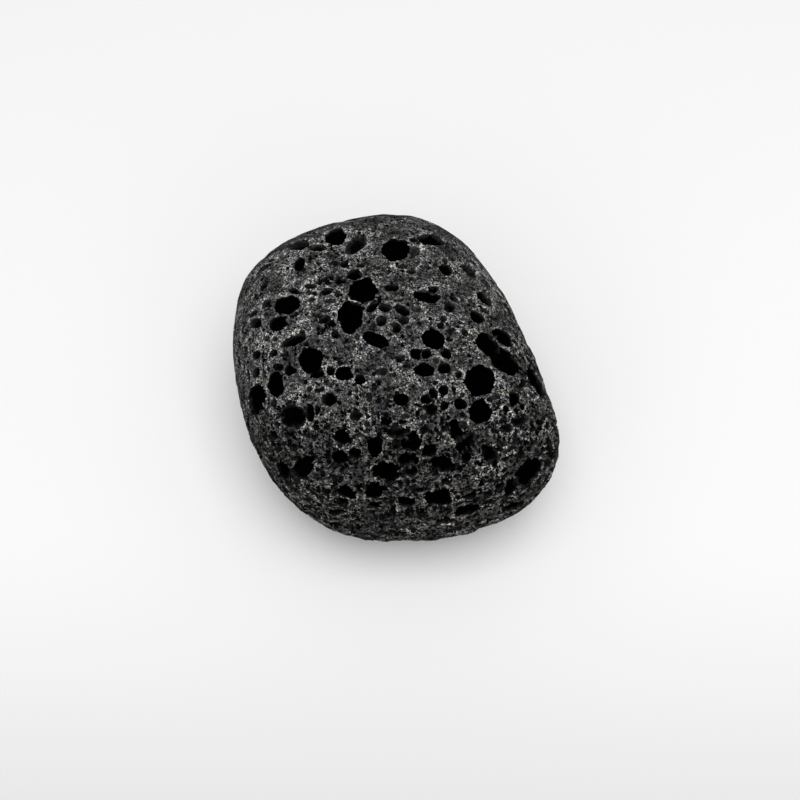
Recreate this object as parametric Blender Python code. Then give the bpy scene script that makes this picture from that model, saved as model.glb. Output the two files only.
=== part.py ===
"""Lava rock: one tumbled stone of vesicular lava.

The stone is a single natural piece. Rolling has worn it to a rounded block, and the wear has cut open the
gas bubbles (vesicles) of the old melt, so its skin is covered in pits that widen below their mouths.

The body is a radial surface about the point CENTRE. In a direction with plan angle a and height share s, its
reach is that of a rounded block whose plan outline is PLAN_REACH and whose half heights are HALF_UP and
HALF_DOWN. A few worn flats then press that reach in softly, and low lumps vary it a little. A level plane
cuts it off underneath, where the stone stands. The vesicles are ellipsoids taken away from the body.
"""

import math
import random

import bmesh
import bpy
import numpy as np
from mathutils import Matrix, Vector

MM = 0.001

# The piece and its stone.
NODE_NAME = "lava_rock"
STONE_COLOUR = (0.085, 0.085, 0.083, 1.0)
STONE_ROUGHNESS = 0.93

# The body, in millimetres: the centre of its radial surface above the foot, and its half heights.
CENTRE = (0.2, -0.6, 12.5)
HALF_UP = 13.7
HALF_DOWN = 12.9
BLOCK_POWER_UP = 2.6
BLOCK_POWER_DOWN = 2.5

# Plan reach every 15 degrees, anticlockwise from +X.
PLAN_REACH = (
    15.9, 14.9, 15.2, 16.2, 17.9, 18.5, 18.4, 18.3,
    18.9, 19.8, 20.1, 18.8, 17.8, 17.1, 17.1, 17.7,
    18.3, 18.5, 18.3, 18.5, 19.0, 19.9, 20.1, 17.5,
)

# Worn flats: the direction that each one faces, and its distance from the centre.
WORN_FLATS = (
    ((-0.05, -0.10, 0.99), 12.8),
    ((0.62, 0.35, 0.70), 15.6),
    ((-0.05, -0.85, 0.52), 16.9),
    ((-0.55, 0.62, -0.56), 15.0),
    ((0.66, 0.30, -0.69), 14.2),
)
FLAT_POWER = 9.0

# Low lumps on the worn skin: wave direction and count, phase, height.
LUMPS = (
    ((4.1, 2.3, -3.2), 0.4, 0.14),
    ((-3.0, 5.2, 2.1), 1.9, 0.12),
    ((6.3, -1.7, 4.4), 3.3, 0.09),
    ((1.2, 7.1, -5.0), 5.1, 0.07),
)

# Facets along each edge of the cube that the body's mesh grows from.
BODY_CUTS = 10

# How much the wear has widened each mouth of the show side.
MOUTH_WEAR = 1.06

# The vesicles of the show side are laid out on a plane through the centre. The plane faces the layout point,
# which stands in front of the stone (towards -Y) at this height angle and distance. Lines from the layout
# point through the plane carry each mouth onto the skin.
LAYOUT_HEIGHT_DEG = 60.0
LAYOUT_DISTANCE = 160.0

# The walk along such a line: how far before the plane it starts, how far past the plane it gives up, its
# smallest step, the share of the remaining gap that a step covers, and the gap at which it has arrived.
WALK_BEFORE = 40.0
WALK_BEYOND = 20.0
WALK_STEP = 0.02
WALK_SHARE = 0.5
WALK_ARRIVED = 0.01

# Each mouth: across, up, length, width, turn of its length from level, depth as a share of its width.
SHOW_VESICLES = (
    (-6.6, 15.7, 2.2, 1.7, 20, 0.75),
    (-4.3, 14.9, 2.9, 1.6, 38, 0.45),
    (0.1, 14.2, 2.7, 2.4, 0, 0.85),
    (4.1, 15.4, 2.8, 1.3, -10, 0.50),
    (-10.7, 14.8, 2.3, 1.1, 10, 0.30),
    (-10.6, 12.6, 1.4, 1.1, 75, 0.80),
    (-4.5, 11.4, 1.6, 1.2, 0, 0.50),
    (-3.5, 9.6, 2.7, 2.6, 0, 0.90),
    (-4.9, 6.7, 3.0, 2.6, 80, 0.95),
    (-12.0, 8.0, 2.6, 1.8, 20, 0.70),
    (-13.0, 5.9, 1.7, 1.5, 30, 0.70),
    (-2.6, 8.0, 1.7, 1.0, 30, 0.80),
    (-2.1, 4.1, 2.8, 1.3, -25, 0.90),
    (-11.2, 4.0, 2.9, 1.0, 22, 0.60),
    (-9.3, 1.8, 2.7, 2.3, 80, 0.70),
    (-5.7, 0.3, 1.6, 1.4, 0, 0.80),
    (-13.3, -0.9, 2.3, 1.6, 90, 0.80),
    (-15.6, -2.6, 3.1, 1.6, 80, 0.60),
    (-11.5, -4.4, 2.9, 2.2, -20, 0.40),
    (-9.4, -4.1, 1.9, 0.9, 95, 0.80),
    (-7.3, -2.6, 1.7, 1.3, 0, 0.50),
    (0.7, -2.6, 1.3, 1.2, 0, 0.80),
    (-5.9, -6.8, 1.5, 1.5, 0, 0.70),
    (-6.0, -9.1, 1.4, 1.3, 0, 0.80),
    (-2.1, -8.0, 2.0, 1.4, 80, 0.80),
    (-10.4, -10.2, 2.6, 2.1, 30, 0.55),
    (-12.5, -10.4, 2.2, 1.0, -60, 0.70),
    (-0.9, -10.6, 2.9, 1.7, -5, 0.80),
    (-2.4, -12.8, 1.7, 1.6, 0, 0.90),
    (-5.3, -12.9, 2.0, 1.2, -20, 0.80),
    (5.7, 12.0, 1.5, 1.1, -45, 0.70),
    (3.6, 8.9, 2.6, 1.2, -10, 0.85),
    (0.8, 7.4, 1.7, 0.9, -28, 0.70),
    (9.2, 6.7, 1.6, 1.1, -35, 0.70),
    (10.0, 8.7, 2.0, 0.8, -42, 0.60),
    (8.3, 11.9, 2.3, 0.9, -38, 0.35),
    (4.3, 4.1, 2.3, 2.0, -20, 0.85),
    (2.9, 2.5, 2.0, 1.1, 0, 0.70),
    (3.3, 0.7, 1.9, 1.3, 0, 0.80),
    (12.1, 4.4, 2.6, 1.2, -38, 0.80),
    (10.5, 3.4, 3.1, 1.8, -47, 0.80),
    (12.2, 1.6, 3.5, 2.2, -47, 0.85),
    (9.6, -0.4, 3.1, 3.0, 0, 0.90),
    (15.7, -0.4, 3.4, 0.9, -63, 0.90),
    (9.5, -4.0, 2.3, 2.1, 90, 0.90),
    (13.3, -2.6, 1.2, 1.0, 90, 0.80),
    (7.3, -3.1, 1.3, 1.1, 0, 0.70),
    (1.9, -7.4, 1.9, 1.7, 0, 0.80),
    (1.6, -9.3, 1.7, 1.5, 0, 0.80),
    (3.9, -8.3, 1.6, 1.0, 20, 0.80),
    (5.4, -9.8, 2.3, 1.4, -15, 0.70),
    (6.8, -6.1, 2.1, 1.1, -70, 0.90),
    (7.6, -7.9, 1.8, 1.3, -40, 0.80),
    (10.7, -8.8, 2.2, 1.5, -50, 0.60),
    (15.1, -10.7, 3.0, 2.0, 55, 0.60),
    (13.0, -12.3, 1.9, 1.1, 60, 0.80),
    (4.9, -13.5, 2.6, 1.6, 0, 0.85),
    (1.3, -14.0, 1.6, 1.1, 0, 0.80),
    (8.1, -14.9, 2.6, 1.0, 12, 0.85),
    (13.3, -14.4, 2.6, 0.7, 18, 0.60),
    (17.3, -7.9, 2.0, 0.7, 95, 0.70),
)

# The vesicles of the other sides are scattered with a fixed seed: how many, their mouths' widths, the power
# that favours narrow mouths, their lengths and depths as shares of the width, the closest two may come, how
# far a mouth may turn towards the layout point, and the radius and height of the clear ring around the foot.
SCATTER_SEED = 11
SCATTER_COUNT = 30
SCATTER_WIDTH = (1.1, 2.7)
SCATTER_NARROWING = 1.6
SCATTER_STRETCH = (1.0, 1.5)
SCATTER_DEPTH = (0.55, 0.90)
SCATTER_GAP = 1.0
SCATTER_TRIES = 4000
SCATTER_FACING = -0.20
FOOT_CLEARANCE = 9.5
FOOT_RING_HEIGHT = 3.0

# The facets round and down the wall of a wide and of a narrow vesicle, and the width that parts the two.
WIDE_WALL = (10, 7)
NARROW_WALL = (8, 5)
WIDE_MOUTH = 1.9

# How much a vesicle's wall waves, the turn of that wave from one vesicle to the next on the show side and on
# the other sides, and the largest stretch of a slanted mouth.
WALL_WAVE = 0.05
SHOW_WAVE_TURN = 1.7
SCATTER_WAVE_TURN = 2.3
LARGEST_STRETCH = 2.4

# The step over which the skin's slope is taken.
NORMAL_STEP = 0.02


def clear_scene():
    """Removes every object, so the model starts empty."""
    for item in list(bpy.data.objects):
        bpy.data.objects.remove(item, do_unlink=True)


def plan_reach(angle):
    """The plan outline's reach at an angle: a smooth closed curve through PLAN_REACH."""
    count = len(PLAN_REACH)
    place = (angle % (2.0 * math.pi)) / (2.0 * math.pi) * count
    start = int(place) % count
    share = place - int(place)
    before, here, after, beyond = (PLAN_REACH[(start + step) % count] for step in (-1, 0, 1, 2))
    slope = after - before
    bend = 2.0 * before - 5.0 * here + 4.0 * after - beyond
    twist = 3.0 * (here - after) + beyond - before
    return here + 0.5 * share * (slope + share * (bend + share * twist))


def body_reach(direction):
    """The body's reach from its centre in a unit direction, in millimetres."""
    level = math.hypot(direction.x, direction.y)
    outline = plan_reach(math.atan2(direction.y, direction.x))
    half_height, power = (HALF_UP, BLOCK_POWER_UP) if direction.z > 0.0 else (HALF_DOWN, BLOCK_POWER_DOWN)
    block = (level / outline) ** power + (abs(direction.z) / half_height) ** power
    total = block ** (FLAT_POWER / power)
    for facing, distance in WORN_FLATS:
        total += (max(0.0, direction.dot(Vector(facing).normalized())) / distance) ** FLAT_POWER
    reach = total ** (-1.0 / FLAT_POWER)
    for wave, phase, height in LUMPS:
        reach += height * math.sin(direction.dot(Vector(wave)) + phase)
    return reach


def skin_gap(point):
    """How far a point lies outside the skin, along its own line from the centre."""
    offset = point - Vector(CENTRE)
    return offset.length - body_reach(offset.normalized())


def skin_normal(point):
    """The skin's outward normal near a point, from the slope of skin_gap."""
    slopes = []
    for axis in range(3):
        step = Vector((0.0, 0.0, 0.0))
        step[axis] = NORMAL_STEP
        slopes.append(skin_gap(point + step) - skin_gap(point - step))
    return Vector(slopes).normalized()


def skin_point(direction):
    """The point of the skin in a unit direction from the centre."""
    return Vector(CENTRE) + direction * body_reach(direction)


def layout_axes():
    """The layout plane's across, up and viewing directions."""
    tilt = math.radians(LAYOUT_HEIGHT_DEG)
    across = Vector((1.0, 0.0, 0.0))
    up = Vector((0.0, math.sin(tilt), math.cos(tilt)))
    inward = Vector((0.0, math.cos(tilt), -math.sin(tilt)))
    return across, up, inward


def cast_onto_skin(across_mm, up_mm):
    """Carries a point of the layout plane along its line from the layout point onto the skin."""
    across, up, inward = layout_axes()
    layout_point = Vector(CENTRE) - inward * LAYOUT_DISTANCE
    line = (inward * LAYOUT_DISTANCE + across * across_mm + up * up_mm).normalized()
    travel = LAYOUT_DISTANCE - WALK_BEFORE
    while travel < LAYOUT_DISTANCE + WALK_BEYOND:
        point = layout_point + line * travel
        gap = skin_gap(point)
        if gap < WALK_ARRIVED:
            return point, line
        travel += max(WALK_STEP, WALK_SHARE * gap)
    return None, line


def mouth_on_skin(normal, line, length, width, turn_deg):
    """Turns a mouth seen along a line into the mouth that lies on the skin.

    Returns its two half axes as vectors in the skin's plane.
    """
    across, up, _ = layout_axes()
    turn = math.radians(turn_deg)
    seen_long = (across * math.cos(turn) + up * math.sin(turn)) * (0.5 * length)
    seen_wide = (up * math.cos(turn) - across * math.sin(turn)) * (0.5 * width)
    slant = line.dot(normal)
    on_skin = [seen - line * (seen.dot(normal) / slant) for seen in (seen_long, seen_wide)]
    side = on_skin[0].cross(normal).normalized()
    ahead = normal.cross(side).normalized()
    spread = np.array([[axis.dot(ahead), axis.dot(side)] for axis in on_skin]).T
    turned, sizes, _ = np.linalg.svd(spread)
    sizes[0] = min(sizes[0], sizes[1] * LARGEST_STRETCH)
    first = (ahead * float(turned[0, 0]) + side * float(turned[1, 0])) * float(sizes[0])
    second = (ahead * float(turned[0, 1]) + side * float(turned[1, 1])) * float(sizes[1])
    return first, second


def add_vesicle(name, group, point, normal, first, second, depth_share, phase):
    """Adds the ellipsoid that hollows one vesicle.

    A ball of radius r cut by the skin leaves a mouth of radius m and a depth d when r = (d*d + m*m) / (2*d).
    The ball is then drawn out along the mouth's two half axes.
    """
    mouth = second.length
    depth = 2.0 * mouth * depth_share
    ball = (depth * depth + mouth * mouth) / (2.0 * depth)
    middle = point - normal * (depth - ball)
    mesh = bpy.data.meshes.new(name)
    shape = bmesh.new()
    segments, rings = WIDE_WALL if 2.0 * mouth > WIDE_MOUTH else NARROW_WALL
    bmesh.ops.create_uvsphere(shape, u_segments=segments, v_segments=rings, radius=1.0)
    for vertex in shape.verts:
        angle = math.atan2(vertex.co.y, vertex.co.x)
        wave = math.sin(3.0 * angle + phase) * (1.0 - vertex.co.z * vertex.co.z)
        vertex.co = vertex.co * (1.0 + WALL_WAVE * wave)
    long_axis = first * (ball / mouth)
    wide_axis = second * (ball / mouth)
    if long_axis.cross(wide_axis).dot(normal) < 0.0:
        wide_axis.negate()
    frame = Matrix((long_axis, wide_axis, normal * ball)).transposed()
    for vertex in shape.verts:
        vertex.co = (middle + frame @ vertex.co) * MM
    shape.to_mesh(mesh)
    shape.free()
    cutter = bpy.data.objects.new(name, mesh)
    cutter.hide_render = True
    cutter.display_type = "WIRE"
    group.objects.link(cutter)


def add_show_vesicles(group):
    """Cuts the vesicles of the show side and returns the middles and radii of their mouths."""
    taken = []
    for number, (across, up, length, width, turn, depth) in enumerate(SHOW_VESICLES):
        point, line = cast_onto_skin(across, up)
        if point is None:
            continue
        normal = skin_normal(point)
        first, second = mouth_on_skin(normal, line, MOUTH_WEAR * length, MOUTH_WEAR * width, turn)
        name = f"show_vesicle_{number:02d}"
        add_vesicle(name, group, point, normal, first, second, depth, SHOW_WAVE_TURN * number)
        taken.append((point, first.length))
    return taken


def add_scattered_vesicles(group, taken):
    """Scatters the vesicles of the sides that the layout point doesn't face, clear of the foot."""
    dice = random.Random(SCATTER_SEED)
    _, _, inward = layout_axes()
    made = 0
    for _ in range(SCATTER_TRIES):
        if made == SCATTER_COUNT:
            break
        direction = Vector((dice.gauss(0.0, 1.0), dice.gauss(0.0, 1.0), dice.gauss(0.0, 1.0))).normalized()
        narrowest, widest = SCATTER_WIDTH
        width = narrowest + (widest - narrowest) * dice.random() ** SCATTER_NARROWING
        length = width * dice.uniform(*SCATTER_STRETCH)
        turn = dice.uniform(0.0, math.pi)
        depth = dice.uniform(*SCATTER_DEPTH)
        point = skin_point(direction)
        normal = skin_normal(point)
        if normal.dot(inward) < SCATTER_FACING:
            continue
        ring = math.hypot(point.x - CENTRE[0], point.y - CENTRE[1])
        if ring < FOOT_CLEARANCE and point.z < FOOT_RING_HEIGHT:
            continue
        if any((point - other).length < 0.5 * length + reach + SCATTER_GAP for other, reach in taken):
            continue
        side = normal.orthogonal().normalized()
        ahead = normal.cross(side)
        first = (side * math.cos(turn) + ahead * math.sin(turn)) * (0.5 * length)
        second = (ahead * math.cos(turn) - side * math.sin(turn)) * (0.5 * width)
        name = f"back_vesicle_{made:02d}"
        add_vesicle(name, group, point, normal, first, second, depth, SCATTER_WAVE_TURN * made)
        taken.append((point, 0.5 * length))
        made += 1


def stone_material():
    """The lava's own grey: rough, dull and not metallic."""
    material = bpy.data.materials.new("vesicular_lava")
    material.use_nodes = True
    shader = material.node_tree.nodes["Principled BSDF"]
    shader.inputs["Base Color"].default_value = STONE_COLOUR
    shader.inputs["Roughness"].default_value = STONE_ROUGHNESS
    shader.inputs["Metallic"].default_value = 0.0
    return material


def add_body():
    """Adds the worn body: a cut cube blown out to the body's reach and cut level underneath."""
    shape = bmesh.new()
    bmesh.ops.create_cube(shape, size=2.0)
    bmesh.ops.subdivide_edges(shape, edges=shape.edges[:], cuts=BODY_CUTS, use_grid_fill=True)
    for vertex in shape.verts:
        even = Vector([math.tan(part * math.pi / 4.0) for part in vertex.co])
        vertex.co = skin_point(even.normalized()) * MM
    cut = bmesh.ops.bisect_plane(
        shape,
        geom=shape.verts[:] + shape.edges[:] + shape.faces[:],
        dist=0.0,
        plane_co=(0.0, 0.0, 0.0),
        plane_no=(0.0, 0.0, -1.0),
        clear_outer=True,
    )
    rim = [item for item in cut["geom_cut"] if isinstance(item, bmesh.types.BMEdge)]
    bmesh.ops.contextual_create(shape, geom=rim)
    bmesh.ops.recalc_face_normals(shape, faces=shape.faces[:])
    mesh = bpy.data.meshes.new(NODE_NAME)
    shape.to_mesh(mesh)
    shape.free()
    mesh.materials.append(stone_material())
    body = bpy.data.objects.new(NODE_NAME, mesh)
    bpy.context.scene.collection.objects.link(body)
    return body


def main():
    """Builds the stone: its body, then the vesicles that the wear has opened."""
    clear_scene()
    body = add_body()
    group = bpy.data.collections.new("vesicle_cutters")
    bpy.context.scene.collection.children.link(group)
    taken = add_show_vesicles(group)
    add_scattered_vesicles(group, taken)
    opening = body.modifiers.new("opened_vesicles", "BOOLEAN")
    opening.operation = "DIFFERENCE"
    opening.solver = "EXACT"
    opening.operand_type = "COLLECTION"
    opening.collection = group


main()
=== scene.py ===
"""Lava rock: the finished look of one tumbled stone of vesicular lava.

The stone is one natural piece. Its worn skin is a radial surface; the gas bubbles (vesicles) that the wear
has opened are carried into it as bubble walls, and finer bubbles eat into skin and walls alike. Lengths are
in millimetres until a mesh is made, and the row frame is in metres.
"""
import logging
import math
import random
from dataclasses import dataclass, field
from enum import Enum
from typing import Iterator

import bpy
import numpy as np
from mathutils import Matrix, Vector


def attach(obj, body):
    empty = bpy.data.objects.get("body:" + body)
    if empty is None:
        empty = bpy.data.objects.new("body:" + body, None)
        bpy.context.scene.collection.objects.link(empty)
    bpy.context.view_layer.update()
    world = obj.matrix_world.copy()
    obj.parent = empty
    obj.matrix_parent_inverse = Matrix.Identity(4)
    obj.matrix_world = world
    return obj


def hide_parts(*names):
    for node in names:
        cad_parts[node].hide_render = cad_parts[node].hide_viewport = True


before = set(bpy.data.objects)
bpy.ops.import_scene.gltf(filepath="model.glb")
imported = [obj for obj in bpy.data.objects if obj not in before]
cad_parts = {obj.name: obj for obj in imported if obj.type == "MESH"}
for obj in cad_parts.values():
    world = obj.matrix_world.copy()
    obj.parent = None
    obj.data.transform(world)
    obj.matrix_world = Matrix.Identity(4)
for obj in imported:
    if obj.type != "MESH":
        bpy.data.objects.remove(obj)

LOG = logging.getLogger("lava_rock")
MM = 0.001
NODE = "lava_rock"
SURFACE = "lava_rock_surface"
Array = np.ndarray
Pair = tuple[float, float]
Triple = tuple[float, float, float]
Socket = bpy.types.NodeSocket


def unit(vectors: Array) -> Array:
    """Vectors scaled to length one, along the last axis."""
    return vectors / np.maximum(np.linalg.norm(vectors, axis=-1, keepdims=True), 1e-12)


def dot(first: Array, second: Array) -> Array:
    """The dot product along the last axis."""
    return np.einsum("...i,...i->...", first, second)


def smooth_step(low: float, high: float, value: Array) -> Array:
    """0 below low, 1 above high and a smooth S between them: t*t*(3 - 2t)."""
    share = np.clip((value - low) / (high - low), 0.0, 1.0)
    return share * share * (3.0 - 2.0 * share)


@dataclass(frozen=True)
class WavyNoise:
    """A smooth noise made of many plane waves, each with its own direction and phase.

    The value at a point p is the sum of sin(k.p + phase) over the waves, scaled to a spread of about one.
    """

    seed: int
    wavelength: float
    waves: int = 18
    spread: float = 0.55
    loudness: float = 0.75

    def at(self, points: Array) -> Array:
        """The noise at points in millimetres.

        Args:
            points: places, with x, y, z along the last axis.

        Returns:
            One value for each place, mostly between -1.5 and 1.5.
        """
        dice = np.random.default_rng(self.seed)
        facing = unit(dice.normal(size=(self.waves, 3)))
        lengths = self.wavelength * (1.0 + self.spread * dice.uniform(-1.0, 1.0, self.waves))
        counts = facing * (2.0 * math.pi / lengths)[:, None]
        phases = dice.uniform(0.0, 2.0 * math.pi, self.waves)
        total = np.zeros(points.shape[:-1])
        for count, phase in zip(counts, phases):
            total += np.sin(points @ count + phase)
        return total * math.sqrt(2.0 / self.waves) * self.loudness


@dataclass(frozen=True)
class StoneForm:
    """The worn body as a radial surface about its centre, the same one that the solid has.

    In a direction with plan angle a, level share l and height share s, the reach r follows from
    r**-f = ((l / plan(a))**p + (|s| / half_height)**p)**(f / p) + sum((facing.direction / distance)**f),
    with f the flats' power, and low lumps are added to it.
    """

    centre: Triple = (0.2, -0.6, 12.5)
    half_up: float = 13.7
    half_down: float = 12.9
    power_up: float = 2.6
    power_down: float = 2.5
    plan_reach: tuple[float, ...] = (
        15.9, 14.9, 15.2, 16.2, 17.9, 18.5, 18.4, 18.3,
        18.9, 19.8, 20.1, 18.8, 17.8, 17.1, 17.1, 17.7,
        18.3, 18.5, 18.3, 18.5, 19.0, 19.9, 20.1, 17.5,
    )
    worn_flats: tuple[tuple[Triple, float], ...] = (
        ((-0.05, -0.10, 0.99), 12.8),
        ((0.62, 0.35, 0.70), 15.6),
        ((-0.05, -0.85, 0.52), 16.9),
        ((-0.55, 0.62, -0.56), 15.0),
        ((0.66, 0.30, -0.69), 14.2),
    )
    flat_power: float = 9.0
    lumps: tuple[tuple[Triple, float, float], ...] = (
        ((4.1, 2.3, -3.2), 0.4, 0.14),
        ((-3.0, 5.2, 2.1), 1.9, 0.12),
        ((6.3, -1.7, 4.4), 3.3, 0.09),
        ((1.2, 7.1, -5.0), 5.1, 0.07),
    )
    slope_step: float = 0.02

    def plan(self, angle: Array) -> Array:
        """The plan outline's reach: a smooth closed curve through plan_reach, whose values are evenly spread.

        Args:
            angle: plan angles, anticlockwise from +X.

        Returns:
            The reach at each.
        """
        reach = np.array(self.plan_reach)
        count = len(reach)
        place = (angle % (2.0 * math.pi)) / (2.0 * math.pi) * count
        start = np.floor(place).astype(int) % count
        share = place - np.floor(place)
        before, here, after, beyond = (reach[(start + step) % count] for step in (-1, 0, 1, 2))
        bend = 2.0 * before - 5.0 * here + 4.0 * after - beyond
        twist = 3.0 * (here - after) + beyond - before
        return here + 0.5 * share * (after - before + share * (bend + share * twist))

    def reach(self, directions: Array) -> Array:
        """The body's reach from its centre.

        Args:
            directions: unit directions, along the last axis.

        Returns:
            The reach in each.
        """
        level = np.hypot(directions[..., 0], directions[..., 1])
        outline = self.plan(np.arctan2(directions[..., 1], directions[..., 0]))
        rising = directions[..., 2] > 0.0
        half_height = np.where(rising, self.half_up, self.half_down)
        power = np.where(rising, self.power_up, self.power_down)
        block = (level / outline) ** power + (np.abs(directions[..., 2]) / half_height) ** power
        total = block ** (self.flat_power / power)
        for facing, distance in self.worn_flats:
            total += (np.maximum(0.0, directions @ unit(np.array(facing))) / distance) ** self.flat_power
        reach = total ** (-1.0 / self.flat_power)
        for wave, phase, height in self.lumps:
            reach += height * np.sin(directions @ np.array(wave) + phase)
        return reach

    def skin(self, directions: Array) -> Array:
        """The points of the uncut skin in unit directions from the centre."""
        return np.array(self.centre) + directions * self.reach(directions)[..., None]

    def gap(self, points: Array) -> Array:
        """How far points lie outside the skin, along their own lines from the centre."""
        offset = points - np.array(self.centre)
        return np.linalg.norm(offset, axis=-1) - self.reach(unit(offset))

    def normals(self, points: Array) -> Array:
        """The skin's outward normals, from the slope of gap over a small step.

        Args:
            points: places on the skin or near it.

        Returns:
            A unit normal for each.
        """
        slopes = []
        for axis in range(3):
            step = np.zeros(3)
            step[axis] = self.slope_step
            slopes.append(self.gap(points + step) - self.gap(points - step))
        return unit(np.stack(slopes, axis=-1))


@dataclass(frozen=True)
class Layout:
    """The plane on which the show side's vesicles are laid out, and the point that carries them to the skin.

    The plane goes through the stone's centre and faces the layout point, which stands towards -Y at this
    height angle and distance.
    """

    form: StoneForm
    height_deg: float = 60.0
    distance: float = 160.0
    walk_before: float = 30.0
    walk_share: float = 0.6
    walk_steps: int = 60
    walk_arrived: float = 0.05

    def axes(self) -> tuple[Array, Array, Array]:
        """The plane's directions.

        Returns:
            Across, up and inward.
        """
        tilt = math.radians(self.height_deg)
        across = np.array([1.0, 0.0, 0.0])
        up = np.array([0.0, math.sin(tilt), math.cos(tilt)])
        inward = np.array([0.0, math.cos(tilt), -math.sin(tilt)])
        return across, up, inward

    def point(self) -> Array:
        """The layout point."""
        return np.array(self.form.centre) - self.axes()[2] * self.distance

    def cast(self, places: Array) -> tuple[Array, Array, Array]:
        """Carries places of the plane along their lines from the layout point onto the skin.

        Each line is walked from walk_before in front of the plane, in steps of walk_share of the gap that is
        left, so that no step passes the skin.

        Args:
            places: across and up on the plane, one row each.

        Returns:
            The points reached, the lines' directions, and whether each line met the skin.
        """
        across, up, inward = self.axes()
        lines = unit(inward * self.distance + places[:, :1] * across + places[:, 1:2] * up)
        travel = np.full(len(places), self.distance - self.walk_before)
        for _ in range(self.walk_steps):
            gap = self.form.gap(self.point() + lines * travel[:, None])
            travel += self.walk_share * np.maximum(gap, 0.0)
        points = self.point() + lines * travel[:, None]
        return points, lines, self.form.gap(points) < self.walk_arrived


@dataclass(frozen=True)
class Mouth:
    """One opened vesicle: its mouth's middle, outward normal and half axes, and its depth."""

    point: Array
    normal: Array
    long_axis: Array
    wide_axis: Array
    depth: float

    def around(self, points: Array, reach: float) -> tuple[Array, Array, Array]:
        """Finds the points about the mouth.

        Args:
            points: surface points.
            reach: how far from the mouth's middle they may lie.

        Returns:
            The numbers of the points found, and their places along and beside the mouth, as shares of its
            half axes.
        """
        near = np.nonzero(((points - self.point) ** 2).sum(axis=1) < reach * reach)[0]
        offset = points[near] - self.point
        along = offset @ self.long_axis / (self.long_axis @ self.long_axis)
        beside = offset @ self.wide_axis / (self.wide_axis @ self.wide_axis)
        return near, along, beside


@dataclass
class Mouths:
    """Opened vesicles as whole arrays: their mouths' middles, outward normals, half axes and depths."""

    points: Array
    normals: Array
    long_axes: Array
    wide_axes: Array
    depths: Array

    def joined(self, other: "Mouths") -> "Mouths":
        """These mouths and the others as one set."""
        pairs = zip(vars(self).values(), vars(other).values())
        return Mouths(*(np.concatenate(pair) for pair in pairs))

    def each(self) -> Iterator[Mouth]:
        """The mouths one by one."""
        return (Mouth(*row) for row in zip(*vars(self).values()))


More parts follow.
